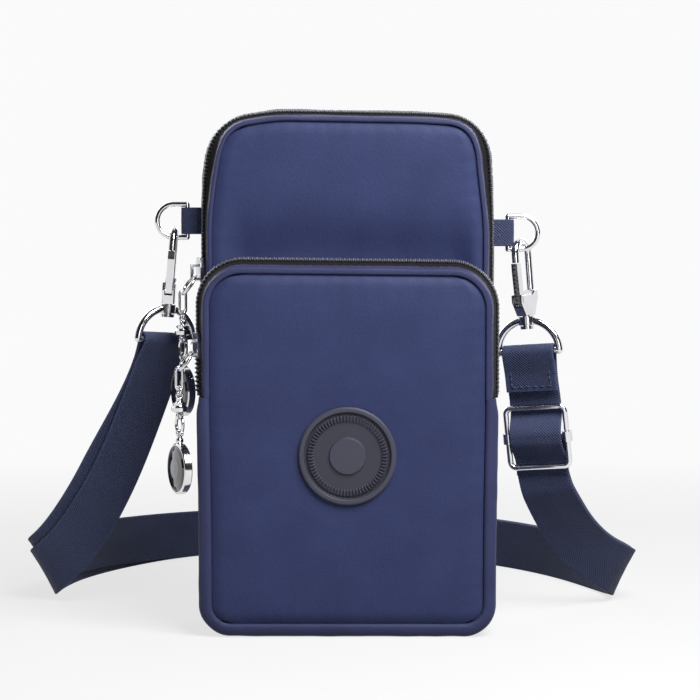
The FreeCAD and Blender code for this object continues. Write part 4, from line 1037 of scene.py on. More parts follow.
@dataclass
class PaddedPanel(SubAssembly):
    """A padded cloth panel sewn in along its border, swollen by a short cloth simulation.

    The cap is the most that it swells, tuck the height of a fold that is held down, and badge the height of
    the middle of a place that is pressed flat.
    """

    name: str
    top: float
    face: float
    outward: float
    cap: float
    nodes: Sequence[str]
    carry: Carry
    seed: int
    rows: int = 120
    columns: int = 66
    thickness: float = 2.2
    tuck: float | None = None
    badge: float | None = None
    bottom: float = SIZES.panel_gap
    half: float = SIZES.half_width - SIZES.panel_gap
    low_radius: float = SIZES.bottom_radius - SIZES.panel_gap
    high_radius: float = SIZES.top_radius - SIZES.panel_gap
    groove_depth: float = 1.1
    groove_width: float = 1.7
    pucker_height: float = 0.10
    pucker_length: float = 6.5
    pucker_reach: float = 4.5
    ripple_height: float = 0.14
    ripple_length: float = 70.0
    tuck_depth: float = 3.3
    tuck_width: float = 12.5
    pressed_to: float = 0.3
    pressed_radius: float = 15.5
    free_radius: float = 27.0

    def edge(self, height: Array) -> Array:
        """Half width at a height: the full half width, less what the rounded corners take.

        Args:
            height: Heights in millimetres.

        Returns:
            Half widths in millimetres.
        """
        low = np.clip(1 - (height - self.bottom) / self.low_radius, 0, 1)
        high = np.clip(1 - (self.top - height) / self.high_radius, 0, 1)
        low_cut = self.low_radius * (1 - np.sqrt(1 - low ** 2))
        high_cut = self.high_radius * (1 - np.sqrt(1 - high ** 2))
        return self.half - low_cut - high_cut

    def flat_grid(self) -> Array:
        """The panel before it swells: rows of even height, each as wide as the outline there.

        Returns:
            Points on rows and columns.
        """
        height = np.linspace(self.bottom, self.top, self.rows)
        x = np.linspace(-1, 1, self.columns)[None, :] * self.edge(height)[:, None]
        z = np.broadcast_to(height[:, None], x.shape)
        return np.stack([x, np.full_like(x, self.face), z], axis=-1)

    def swell(self, grid: Array) -> Array:
        """Heights of the cloth once light pressure has filled it, pinned along its border and its tuck.

        The simulated height is eased by taking the mean of each point's four neighbours some times over.

        Args:
            grid: The flat panel.

        Returns:
            Height of each point off the flat panel, at most the cap.
        """
        trial = PieceMesh(Patch(grid, grid[..., [0, 2]])).to_object(
            f"{self.name}_trial", self.wardrobe.by_slot[Slot.PANEL])
        number = np.arange(self.rows * self.columns).reshape(self.rows, self.columns)
        held = [number[0], number[-1], number[:, 0], number[:, -1]]
        if self.tuck is not None:
            held.append(number[int(np.argmin(np.abs(grid[:, 0, 2] - self.tuck)))])
        pins = trial.vertex_groups.new(name=CLOTH_SETTINGS["vertex_group_mass"])
        pins.add(np.unique(np.concatenate(held)).tolist(), 1.0, "REPLACE")
        cloth = trial.modifiers.new("Cloth", "CLOTH")
        for name, setting in CLOTH_SETTINGS.items():
            setattr(cloth.settings, name, setting)
        cloth.settings.effector_weights.gravity = 0
        cloth.collision_settings.use_collision = False
        scene = bpy.context.scene
        for step in range(CLOTH_FRAMES):
            scene.frame_set(step + 1)
        cooked = trial.evaluated_get(bpy.context.evaluated_depsgraph_get())
        flat = np.zeros(grid.size, dtype=np.float32)
        cooked.data.vertices.foreach_get("co", flat)
        height = np.abs(flat.reshape(grid.shape)[..., 1] / MM - self.face)
        for step in range(CLOTH_EASING):
            upright = height[:-2, 1:-1] + height[2:, 1:-1]
            sideways = height[1:-1, :-2] + height[1:-1, 2:]
            height[1:-1, 1:-1] = (upright + sideways) / 4
        scene.frame_set(1)
        bpy.data.objects.remove(trial)
        LOG.info("%s swells by up to %.2f mm", self.name, float(height.max()))
        return self.cap * np.tanh(height / self.cap)

    def lift(self, grid: Array) -> Array:
        """Height of the outer face off the flat panel.

        It is the simulated swelling, less a bell-shaped groove along the seam, plus small waves along the
        seam that die out away from it, plus a broad ripple. A bell-shaped tuck goes down across the panel,
        and a round place for the badge is eased to one height.

        Args:
            grid: The flat panel.

        Returns:
            Heights in millimetres.
        """
        x, z = grid[..., 0], grid[..., 2]
        side_gap = self.edge(z) - np.abs(x)
        end_gap = np.minimum(z - self.bottom, self.top - z)
        gap = np.minimum(side_gap, end_gap)
        along = np.where(side_gap < end_gap, z, x)
        puff = self.swell(grid)
        groove = self.groove_depth * np.exp(-(gap / self.groove_width) ** 2)
        waves = np.sin(TURN * along / self.pucker_length + 2.5 * ripple(x, z, 40.0, self.seed))
        near_seam = np.exp(-gap / self.pucker_reach) * smooth_step(gap, 0.0, 1.5)
        broad = smooth_step(gap, 0.0, 14.0) * ripple(x, z * 0.8, self.ripple_length, self.seed + 1)
        lift = puff - groove + self.pucker_height * near_seam * waves + self.ripple_height * broad
        if self.tuck is not None:
            bell = np.exp(-((z - self.tuck) / self.tuck_width) ** 2)
            lift = lift - self.tuck_depth * bell * smooth_step(gap, 0.0, 12.0)
        if self.badge is not None:
            under = 1 - smooth_step(np.hypot(x, z - self.badge), self.pressed_radius, self.free_radius)
            lift = lift + (self.pressed_to - lift) * under
        return lift

    def build(self) -> None:
        """Make the panel: its swollen face, a flat inner face and the seam allowance between them."""
        grid = self.flat_grid()
        outer = grid.copy()
        outer[..., 1] = self.face + self.outward * self.lift(grid)
        inner = grid.copy()
        inner[..., 1] = self.face - self.outward * self.thickness
        count = self.rows * self.columns
        number = np.arange(count).reshape(self.rows, self.columns)
        ring = np.concatenate([number[0], number[1:, -1], number[-1, -2::-1], number[-2:0:-1, 0]])
        after = np.roll(ring, -1)
        rim = np.stack([ring, after, after + count, ring + count], axis=-1)
        quads = np.concatenate([cells(number), cells(number) + count, rim])
        points = slope(np.concatenate([outer.reshape(-1, 3), inner.reshape(-1, 3)]))
        uv = np.tile(grid[..., [0, 2]].reshape(-1, 2), (2, 1))
        mesh = PieceMesh()
        mesh.add(points, quads, uv[quads])
        self.wardrobe.make(self.name, mesh, Slot.PANEL, self.carry, self.nodes, fill=0.4)


@dataclass
class ClothStrip(SubAssembly):
    """A cloth strip sewn round the bag's side, with its rims turned in and a row of stitches.

    Corners give its outline by depth, y and radius, and seam the y and the depth of its stitches.
    """

    name: str
    path: SidePath
    corners: Sequence[Triple]
    nodes: Sequence[str]
    carry: Carry
    seed: int
    seam: tuple[float, float]
    lift: float = 0.14
    pinch: float = 0.3
    pitch: float = 3.0

    def build(self) -> None:
        """Make the strip and its stitches."""
        mesh = PieceMesh(carried(self.path, self.corners, self.seed, self.lift, self.pinch))
        self.wardrobe.make(self.name, mesh, Slot.STRIP, self.carry, self.nodes, fill=0.3)
        y, depth = self.seam
        place, outward, along = self.path.at(np.arange(self.pitch, self.path.length - self.pitch, self.pitch))
        spots = place - outward * depth
        spots[:, 1] = y
        thread = PieceMesh()
        thread.sew(slope(spots), along, outward)
        self.wardrobe.make(f"{self.name}_stitches", thread, Slot.STRIP, self.carry)


@dataclass
class Shell(SubAssembly):
    """Panels, strips and gussets of the bag.

    Hem is how deep the rear strips' edges lie at the zips, full how far padding pushes the pocket's front
    strip out, and tuck the height at which the upper front panel is held down behind the pocket.
    """

    hem: float = 0.65
    full: float = 0.6
    tuck: float = 137.0

    def panels(self) -> list[PaddedPanel]:
        """The padded panels.

        Returns:
            The back, the upper front with the divider, and the pocket's front.
        """
        top = SIZES.height - SIZES.panel_gap
        pocket_top = SIZES.pocket_height - SIZES.panel_gap
        return [
            PaddedPanel(
                self.wardrobe, "back_cloth", top, SIZES.back, outward=1.0, cap=1.6,
                nodes=["back_panel"], carry=ON_BAG, seed=3,
            ),
            PaddedPanel(
                self.wardrobe, "front_cloth", top, SIZES.middle, outward=-1.0, cap=1.3,
                nodes=["divider_panel", "upper_front_panel"], carry=FLAP_FOLD, seed=7,
                thickness=4.2, tuck=self.tuck,
            ),
            PaddedPanel(
                self.wardrobe, "pocket_cloth", pocket_top, SIZES.front, outward=-1.0, cap=1.9,
                nodes=["pocket_front_panel_lower", "pocket_front_panel_upper"], carry=POCKET_PANEL_FOLD,
                seed=11, rows=90, badge=SIZES.badge,
            ),
        ]

    def front_outline(self, face: float, zip_edge: float, full: float) -> list[Triple]:
        """Outline of a strip between a front panel and a zip behind it.

        Args:
            face: Y of the panel.
            zip_edge: Y of the zip's near edge.
            full: How far padding pushes the strip out.

        Returns:
            Depth, y and radius of each corner.
        """
        rim, deep = SIZES.rim, SIZES.rim_depth
        edge = SIZES.zip_slope
        inside = edge + SIZES.wall
        return [
            (inside, zip_edge, 0.3), (inside + 0.3, face + deep, 0.1), (rim, face + deep, 0.1),
            (rim, face, 0.7), (edge + SIZES.strip_slope - full, face, 0.8), (edge - full, zip_edge, 0.6),
        ]

    def strips(self) -> list[ClothStrip]:
        """The strips and gussets, each by its outline of depth, y and corner radius.

        Returns:
            The main compartment's strips and gusset, and the pocket's.
        """
        rim, wall, deep, hem = SIZES.rim, SIZES.wall, SIZES.rim_depth, self.hem
        front, middle, back = SIZES.front, SIZES.middle, SIZES.back
        lining = hem + 0.6
        behind = middle + 0.1
        before = middle - 0.1
        main_low = SIZES.main_zip - SIZES.zip_half
        main_high = SIZES.main_zip + SIZES.zip_half
        pocket_low = SIZES.pocket_zip - SIZES.zip_half
        pocket_high = SIZES.pocket_zip + SIZES.zip_half
        edge = SIZES.zip_slope
        return [
            ClothStrip(self.wardrobe, "main_rear_cloth", MAIN_ARCH, [
                (hem, main_high, 0.3), (hem - 0.5, main_high + 2.6, 1.2), (0, back - deep, 2.0),
                (0, back, 3.4), (rim, back, 1.5), (rim, back - deep, 0.4),
                (lining, back - deep, 0.4), (lining, main_high, 0.2),
            ], ["main_rear_strip"], ON_BAG, seed=21, seam=(main_high + 1.6, hem - 0.3)),
            ClothStrip(
                self.wardrobe, "main_front_cloth", MAIN_ARCH, self.front_outline(middle, main_low, 0.0),
                ["main_front_strip_upper", "main_front_strip_legs"], FLAP_FOLD, seed=23,
                seam=(main_low - 1.4, edge + 0.2),
            ),
            ClothStrip(self.wardrobe, "main_gusset_cloth", CUP, [
                (0, behind, 0.8), (0, back, 3.4), (rim, back, 1.5),
                (rim, back - deep, 0.4), (wall, back - deep, 0.4), (wall, middle + deep, 0.4),
                (rim, middle + deep, 0.4), (rim, behind, 0.4),
            ], ["main_bottom_gusset"], ON_BAG, seed=25, seam=(middle + 2.0, 0.0), lift=0.12, pinch=0.6),
            ClothStrip(
                self.wardrobe, "pocket_front_cloth", POCKET_ARCH,
                self.front_outline(front, pocket_low, self.full), ["pocket_front_strip"], POCKET_FOLD,
                seed=27, seam=(pocket_low - 1.4, edge - self.full + 0.2),
            ),
            ClothStrip(self.wardrobe, "pocket_rear_cloth", POCKET_BULGE, [
                (hem, pocket_high, 0.3), (hem - 0.3, pocket_high + 2.4, 0.8), (hem - 0.2, before, 0.6),
                (lining, before, 0.2), (lining, pocket_high, 0.2),
            ], ["pocket_rear_strip"], ON_BAG, seed=29, seam=(pocket_high + 1.6, hem - 0.2)),
            ClothStrip(self.wardrobe, "pocket_gusset_cloth", CUP, [
                (0, front, 3.2), (0, before, 0.8), (wall, before, 0.4), (wall, front + deep, 0.4),
                (rim, front + deep, 0.4), (rim, front, 1.5),
            ], ["pocket_bottom_gusset"], ON_BAG, seed=31, seam=(middle - 2.0, 0.0), lift=0.12, pinch=1.0),
        ]

    def build(self) -> None:
        """Make every piece of the shell."""
        for piece in (*self.panels(), *self.strips()):
            piece.build()


# Zips


class Row(Enum):
    """The two rows of a zip, by the side of its middle that each is on."""

    FRONT = -1
    REAR = 1


# How many pitches from the end each row's first tooth lies, and how deep the tapes' front and rear edges lie.
FIRST_TOOTH = {Row.FRONT: 0.75, Row.REAR: 1.25}
TAPE_DEPTHS = {Row.FRONT: (3.2, 1.7), Row.REAR: (1.0, 0.7)}


@dataclass(frozen=True)
class ZipRow:
    """How one row of a zip moves, and the nodes that its tape and its teeth stand for."""

    carry: Carry
    tape: Sequence[str]
    teeth: Sequence[str]


@dataclass
class CoilZip(SubAssembly):
    """An arched coil zip: two tapes and two rows of meshing teeth, parted below the slider."""

    name: str
    path: SidePath
    middle: float
    slider: float
    rows: dict[Row, ZipRow]
    pitch: float = 1.6
    reach: float = 2.2
    overlap: float = 1.0
    parting: float = 1.3
    slider_length: float = 9.0
    tape_from: float = 0.9
    tape_past: float = 0.6
    tape_thick: float = 0.6

    def tooth(self) -> Patch:
        """One tooth along y from its head: eight points round a soft square at five places along it.

        Returns:
            A closed patch, raised in z.
        """
        sides = 8
        squareness = 0.7
        sink = 0.24
        along = np.array([0.0, 0.22, 0.75, 1.5, self.reach])
        wide = np.array([0.24, 0.42, 0.42, 0.36, 0.34])[:, None]
        tall = np.array([0.44, 0.78, 0.84, 0.80, 0.62])[:, None]
        angle = (np.arange(sides) + 0.5) / sides * TURN
        circle = np.stack([np.cos(angle), np.sin(angle)])
        round_x, round_z = np.sign(circle) * np.abs(circle) ** squareness
        places = np.broadcast_to(along[:, None], (len(along), sides))
        points = np.stack([wide * round_x, places, tall * round_z - sink], axis=-1)
        uv = np.stack(np.meshgrid(np.arange(sides + 1) / sides, along), axis=-1)
        return Patch(points, uv, closed=True)

    def build_teeth(self, row: Row) -> None:
        """Make one row of teeth.

        Args:
            row: Which side of the zip.
        """
        first = self.pitch * FIRST_TOOTH[row]
        middle_line = self.path.inset(SIZES.zip_slope / 2)
        place, outward, along = middle_line.at(np.arange(first, middle_line.length - first, self.pitch))
        open_from = self.slider + self.slider_length / 2
        below = np.clip((open_from - place[:, 2]) / self.slider_length, 0, 1)
        opened = below * self.parting * (place[:, 0] < 0)
        rearward = -np.array(FORWARD)
        tilt = SIZES.zip_tilt
        facing = outward * math.cos(tilt) - rearward * math.sin(tilt)
        sideways = (rearward * math.cos(tilt) + outward * math.sin(tilt)) * row.value
        spots = place - sideways * (self.overlap / 2 - opened)[:, None]
        spots[:, 1] += self.middle
        teeth = PieceMesh()
        teeth.add_copies(self.tooth(), slope(spots), np.stack([along, sideways, facing], axis=1))
        name = f"{self.name}_{row.name.lower()}_coil"
        self.wardrobe.make(name, teeth, Slot.TEETH, self.rows[row].carry, self.rows[row].teeth)

    def build_tape(self, row: Row) -> None:
        """Make the tape of one row.

        Args:
            row: Which side of the zip.
        """
        near = self.middle + row.value * self.tape_from
        far = self.middle + row.value * (SIZES.zip_half + self.tape_past)
        low, high = min(near, far), max(near, far)
        low_depth, high_depth = TAPE_DEPTHS[row]
        thick = self.tape_thick
        outline = [
            (low_depth, low, 0.2), (high_depth, high, 0.2),
            (high_depth + thick, high, 0.2), (low_depth + thick, low, 0.2),
        ]
        tape = PieceMesh(carried(self.path, outline, seed=41))
        name = f"{self.name}_{row.name.lower()}_tape_cloth"
        self.wardrobe.make(name, tape, Slot.TAPE, self.rows[row].carry, self.rows[row].tape)

    def build(self) -> None:
        """Make both rows."""
        for row in Row:
            self.build_teeth(row)
            self.build_tape(row)


def make_zips(wardrobe: Wardrobe) -> list[CoilZip]:
    """The main zip and the pocket's zip.

    Args:
        wardrobe: The finishes.

    Returns:
        Both zips.
    """
    main = CoilZip(wardrobe, "main_zip", MAIN_ARCH, SIZES.main_zip, slider=133.0, rows={
        Row.FRONT: ZipRow(
            FLAP_FOLD,
            ["main_zip_front_tape_upper", "main_zip_front_tape_legs"],
            ["main_zip_front_teeth_upper", "main_zip_front_teeth_legs"],
        ),
        Row.REAR: ZipRow(ON_BAG, ["main_zip_rear_tape"], ["main_zip_rear_teeth"]),
    })
    pocket = CoilZip(wardrobe, "pocket_zip", POCKET_BULGE, SIZES.pocket_zip, slider=106.0, rows={
        Row.FRONT: ZipRow(POCKET_FOLD, ["pocket_zip_front_tape"], ["pocket_zip_front_teeth"]),
        Row.REAR: ZipRow(ON_BAG, ["pocket_zip_rear_tape"], ["pocket_zip_rear_teeth"]),
    })
    return [main, pocket]


# Strap

# The bars that the strap turns over, the directions across the webbing there and at the buckle, the direction
# down from the right bar, and the route between the bars as in the part: points with directions across.
RIGHT_BAR = np.array([68.2285, 16.4, 101.819])
LEFT_BAR = np.array([-68.5642, 16.4, 106.3469])
RIGHT_ACROSS = np.array([0.9374, -0.3402, 0.0738])
LEFT_ACROSS = np.array([-0.8184, -0.5702, 0.0716])
BUCKLE_ACROSS = np.array([0.9467, -0.3127, 0.0774])
RUN_DOWN = np.array([0.111087, 0.091229, -0.989615])
STRAP_ROUTE: list[tuple[Triple, Triple]] = [
    ((73.8, 21.0, 52.0), (0.93, -0.30, 0.15)),
    ((90.0, 42.0, 24.0), (0.75, -0.15, 0.65)),
    ((113.0, 60.0, 10.2), (0.47, 0.0, 0.88)),
    ((98.0, 99.0, 10.2), UPWARD),
    ((84.0, 131.0, 10.2), UPWARD),
    ((63.5, 160.0, 10.2), UPWARD),
    ((25.0, 195.0, 10.2), UPWARD),
    ((-25.0, 208.0, 10.2), UPWARD),
    ((-70.0, 186.0, 10.2), UPWARD),
    ((-98.0, 147.0, 10.2), UPWARD),
    ((-115.0, 105.0, 10.2), UPWARD),
    ((-122.4, 60.0, 10.2), (-0.54, 0.0, 0.84)),
    ((-108.0, 51.0, 23.0), (-0.66, -0.20, 0.70)),
    ((-93.5, 41.0, 46.0), (-0.78, -0.42, 0.40)),
    ((-81.0, 30.0, 73.5), (-0.82, -0.52, 0.12)),
]
# Where the left run starts to bend with the left loop, in metres.
LEFT_BEND_START: Triple = (-0.0935, 0.041, 0.046)


def smooth_line(points: Array) -> Array:
    """Points of the smooth spline that has these control points.

    Args:
        points: Control points in millimetres.

    Returns:
        The spline's own points in millimetres, in order.
    """
    curve = bpy.data.curves.new("route", "CURVE")
    curve.dimensions = "3D"
    spline = curve.splines.new("NURBS")
    spline.points.add(len(points) - 1)
    weighted = np.concatenate([points * MM, np.ones((len(points), 1))], axis=1)
    spline.points.foreach_set("co", weighted.astype(np.float32).ravel())
    spline.order_u = 3
    spline.use_endpoint_u = True
    spline.resolution_u = 24
    holder = bpy.data.objects.new("route", curve)
    bpy.context.scene.collection.objects.link(holder)
    bpy.context.view_layer.update()
    mesh = bpy.data.meshes.new_from_object(holder)
    flat = np.zeros(len(mesh.vertices) * 3, dtype=np.float32)
    mesh.vertices.foreach_get("co", flat)
    bpy.data.objects.remove(holder)
    bpy.data.meshes.remove(mesh)
    return flat.reshape(-1, 3).astype(float) / MM


@dataclass(frozen=True)
class Webbing:
    """A flat band: a soft-edged section carried along a middle line."""

    width: float = 20.0
    thickness: float = 1.2

    def section(self) -> Array:
        """Outline of the band: a flat loop with rounded edges, thickest at its middle.

        Returns:
            Distances across the band and off it.
        """
        half_share = np.array([0.3, 0.6, 0.86, 0.95, 0.985, 1.0])
        half_rise = np.array([0.93, 0.97, 0.86, 0.95, 0.7, 0.25])
        across = np.concatenate([-half_share[::-1], [0.0], half_share]) * self.width / 2
        rise = np.concatenate([half_rise[::-1], [1.0], half_rise]) * self.thickness / 2
        top = np.stack([across, rise], axis=-1)
        return np.concatenate([top, top[::-1] * (1, -1)])

    def band(self, line: Array, across: Array, start: float = 0.0) -> Patch:
        """The band along a line.

        Args:
            line: Points of the middle line.
            across: Directions across the band, about square to the line, or one for all.
            start: Distance that the pattern has already run.

        Returns:
            A closed patch.
        """
        along = unit(np.gradient(line, axis=0))
        across = unit(across - along * np.sum(across * along, axis=1, keepdims=True))
        facing = np.cross(along, across)
        section = self.section()
        points = (
            line[:, None, :]
            + across[:, None, :] * section[None, :, :1]
            + facing[:, None, :] * section[None, :, 1:]
        )
        wide = np.concatenate([section[:, 0], section[:1, 0]])
        uv = np.stack(np.meshgrid(wide + self.width / 2, distances(line) + start), axis=-1)
        return Patch(points, uv, closed=True)


@dataclass(frozen=True)
class Layer:
    """One layer of the free strap, from a distance below the right bar to the left bar.

    Offsets off the middle line go with distances from its start, or from its end where negative. Drift is
    how far the layer has slipped sideways on the left run.
    """

    name: str
    node: str
    start: float
    offsets: Sequence[tuple[float, float]]
    drift: float = 0.0


@dataclass
class Strap(SubAssembly):
    """The doubled strap with its folds, its sewn tail and its pass through the buckle.

    Lay is how far each layer lies off the middle line, at_bar how far where it turns over a bar, and ease the
    length over which it changes. Slip_in and slip_out say between which distances from the left bar a layer's
    sideways slip grows and ends.
    """

    webbing: Webbing = Webbing()
    lay: float = 0.9
    at_bar: float = 2.2
    ease: float = 10.0
    tail: float = 15.0
    buckle: float = 33.0
    half_pitch: float = 11.5
    bar_wire: float = 1.1
    under_bar: float = 1.9
    over_bar: float = 3.3
    thread_rise: float = 0.85
    slip_in: tuple[float, float] = (280.0, 150.0)
    slip_out: tuple[float, float] = (60.0, 12.0)

    @property
    def top_bar(self) -> float:
        """Distance from the right bar to the buckle's upper end."""
        return self.buckle - self.half_pitch

    @property
    def low_bar(self) -> float:
        """Distance from the right bar to the buckle's lower end."""
        return self.buckle + self.half_pitch

    def run_point(self, distance: Array) -> Array:
        """Points on the straight run down from the right bar."""
        return RIGHT_BAR + distance[:, None] * RUN_DOWN

    def run_across(self, distance: Array) -> Array:
        """Directions across the webbing on the straight run."""
        share = np.clip(distance / self.buckle, 0, 1)[:, None]
        return unit(RIGHT_ACROSS * (1 - share) + BUCKLE_ACROSS * share)

    def shifted(self, line: Array, across: Array, offset: Array) -> Array:
        """A line moved off the webbing's face by an offset at each point."""
        along = unit(np.gradient(line, axis=0))
        return line + np.cross(along, unit(across)) * offset[:, None]

    def free_line(self, start: float) -> tuple[Array, Array]:
        """The smooth middle line from the buckle round to the left bar, and the directions across it.

        Args:
            start: Distance from the right bar at which the line starts.

        Returns:
            Points, and directions across.
        """
        first = np.unique([start, self.low_bar])
        route, across = np.array(STRAP_ROUTE).transpose(1, 0, 2)
        points = np.concatenate([self.run_point(first), route, [LEFT_BAR]])
        sides = unit(np.concatenate([self.run_across(first), across, [LEFT_ACROSS]]))
        line = smooth_line(points)
        edge = smooth_line(points + sides * self.webbing.width / 2)
        return line, unit(edge - line)

    def make_band(self, name: str, line: Array, across: Array, carry: Carry, node: str,
                  start: float = 0.0) -> Object:
        """Make one length of webbing.

        Args:
            name: Name of the piece.
            line: Points of its middle line.
            across: Directions across it, or one for all.
            carry: How it moves.
            node: Node that it stands for.
            start: Distance that the pattern has already run.

        Returns:
            The new object.
        """
        mesh = PieceMesh(self.webbing.band(line, across, start))
        return self.wardrobe.make(name, mesh, Slot.WEBBING, carry, [node])

    def build_layer(self, layer: Layer, pieces: dict[str, Sequence[Any]]) -> None:
        """Make one layer of the free strap in two lengths that meet behind the bag.

        Args:
            layer: Where the layer lies.
            pieces: Pieces that go with the right and with the left length; not used.
        """
        line, across = self.free_line(layer.start)
        run = distances(line)
        end = run[-1]
        slipped = smooth_step(run, *(end - np.array(self.slip_in)))
        slipped = slipped * (1 - smooth_step(run, *(end - np.array(self.slip_out))))
        knots = np.array([[at if at >= 0 else end + at, offset] for at, offset in layer.offsets])
        place = np.clip(np.searchsorted(knots[:, 0], run, side="right") - 1, 0, len(knots) - 2)
        low, high = knots[place], knots[place + 1]
        eased = smooth_step(run, low[:, 0], high[:, 0])
        line = self.shifted(line, across, low[:, 1] + (high[:, 1] - low[:, 1]) * eased)
        line = line + across * (slipped * layer.drift)[:, None]
        run = distances(line)
        middle = int(np.searchsorted(run, run[-1] * 0.5))
        bend = Carry(Body.BAG, Body.LEFT_LOOP, LEFT_BEND_START, tuple(LEFT_BAR * MM))
        halves = {"right": (slice(0, middle + 1), ON_BAG, 0), "left": (slice(middle, None), bend, -1)}
        for side, (part, carry, tip) in halves.items():
            name = f"{layer.name}_{side}"
            piece = self.make_band(name, line[part], across[part], carry, layer.node, float(run[part][0]))
            tuple(line[part][tip] * MM)
            (line[part] * MM).tolist()

    def build_right_fold(self) -> Object:
        """The sewn tail, the turn over the right bar and the leg down behind to the buckle.

        Returns:
            The folded length.
        """
        near_bar = 0.4
        facing = np.cross(RUN_DOWN, RIGHT_ACROSS)
        tail = np.linspace(self.tail, near_bar, 14)
        front = self.at_bar + (self.lay - self.at_bar) * smooth_step(tail, 0, self.ease)
        turn = np.linspace(0, math.pi, 15)[:, None]
        leg = np.linspace(near_bar, self.top_bar + 3.0, 20)
        rear = -self.at_bar + (self.at_bar - self.lay) * smooth_step(leg, 0, self.ease)
        rear = rear + (self.lay - self.under_bar) * smooth_step(leg, self.ease, self.top_bar - 1)
        line = np.concatenate([
            self.run_point(tail) + facing * front[:, None],
            RIGHT_BAR + self.at_bar * (facing * np.cos(turn) - RUN_DOWN * np.sin(turn)),
            self.run_point(leg) + facing * rear[:, None],
        ])
        low, high = self.run_point(np.array([20.0, 3.0])) * MM
        carry = Carry(Body.BAG, Body.RIGHT_LOOP, tuple(low), tuple(high))
        piece = self.make_band("strap_right_turn", line, RIGHT_ACROSS, carry, "strap_right_fold")
        thread = PieceMesh()
        raised = facing * (self.lay + self.thread_rise)
        upright = self.run_point(np.linspace(4.0, 12.5, 5)) + raised
        for side in (-7.5, 7.5):
            thread.sew(upright + RIGHT_ACROSS * side, RUN_DOWN, facing)
        level = RIGHT_BAR + RIGHT_ACROSS * np.linspace(-7.0, 7.0, 6)[:, None] + raised
        for drop in (3.4, 13.2):
            thread.sew(level + RUN_DOWN * drop, RIGHT_ACROSS, facing)
        self.wardrobe.make("strap_tail_stitches", thread, Slot.WEBBING, carry)
        return piece

    def build_pass(self) -> Object:
        """The length that goes behind the buckle's ends and over its sliding bar.

        Returns:
            The length.
        """
        run = np.linspace(self.top_bar - 2.2, self.low_bar + 3.3, 60)
        climb = smooth_step(run, self.top_bar + self.bar_wire, self.buckle - self.bar_wire)
        fall = smooth_step(run, self.buckle + self.bar_wire, self.low_bar - self.bar_wire)
        offset = -self.under_bar + (self.over_bar + self.under_bar) * (climb - fall)
        across = self.run_across(run)
        line = self.shifted(self.run_point(run), across, offset)
        return self.make_band("strap_buckle_length", line, across, Carry(Body.BUCKLE), "strap_buckle_pass")

    def build_left_fold(self) -> Object:
        """The turn over the left bar.

        Returns:
            The turn.
        """
        up = LEFT_BAR - np.array(STRAP_ROUTE[-1][0])
        up = unit(up - LEFT_ACROSS * float(up @ LEFT_ACROSS))
        facing = np.cross(up, LEFT_ACROSS)
        turn = np.linspace(-0.12, math.pi + 0.12, 17)[:, None]
        line = LEFT_BAR + self.at_bar * (facing * np.cos(turn) + up * np.sin(turn))
        return self.make_band("strap_left_turn", line, LEFT_ACROSS, Carry(Body.LEFT_LOOP), "strap_left_fold")

    def build(self) -> None:
        """Make the whole strap."""
        right_turn = self.build_right_fold()
        buckle_length = self.build_pass()
        left_turn = self.build_left_fold()
        under = -self.under_bar
        behind = under - self.webbing.thickness - 0.2
        outer = [(0.0, under), (2.2, under), (12.0, self.lay), (-self.ease, self.lay), (-0.01, self.at_bar)]
        inner = [
            (0.0, under), (2.8, under), (self.half_pitch - 3.5, behind), (self.half_pitch + 3.3, behind),
            (self.half_pitch + 13.0, -self.lay), (-self.ease, -self.lay), (-0.01, -self.at_bar),
        ]
        with_outer = {"right": [right_turn, buckle_length, "buckle_frame", "buckle_bar"], "left": [left_turn]}
        self.build_layer(Layer("strap_outer_length", "strap_outer", self.low_bar, outer), with_outer)
        self.build_layer(Layer("strap_inner_length", "strap_inner", self.buckle, inner, drift=4.0), {})


@dataclass
class SideTab(SubAssembly):
    """A folded webbing tab that holds a D-ring on the bag's side."""

    name: str
    side: float
    height: float
    node: str
    y: float = 16.4
    bar: float = 60.2
    fold: float = 1.7
    sunk: float = 0.6
    seam: float = 1.8
    thread_rise: float = 0.62
    webbing: Webbing = Webbing(10.0, 1.15)

    def build(self) -> None:
        """Make the tab, two layers joined by a half turn round the ring's bar, and its stitches."""
        out = np.linspace(SIZES.half_width - self.sunk, self.bar, 6)[:-1]
        turn = np.linspace(-math.pi / 2, math.pi / 2, 11)
        layer = np.full_like(out, self.fold)
        x = np.concatenate([out, self.bar + self.fold * np.cos(turn), out[::-1]]) * self.side
        y = np.concatenate([-layer, self.fold * np.sin(turn), layer]) + self.y
        line = np.stack([x, y, np.full_like(x, self.height)], axis=-1)
        mesh = PieceMesh(self.webbing.band(line, np.array(UPWARD)))
        self.wardrobe.make(self.name, mesh, Slot.WEBBING, ON_BAG, [self.node])
        spots = np.zeros((4, 3))
        spots[:, 0] = self.side * (SIZES.half_width + self.seam)
        spots[:, 1] = self.y - self.fold - self.thread_rise
        spots[:, 2] = self.height + np.linspace(-3.6, 3.6, len(spots))
        thread = PieceMesh()
        thread.sew(spots, UPWARD, FORWARD)
        self.wardrobe.make(f"{self.name}_stitches", thread, Slot.WEBBING, ON_BAG)


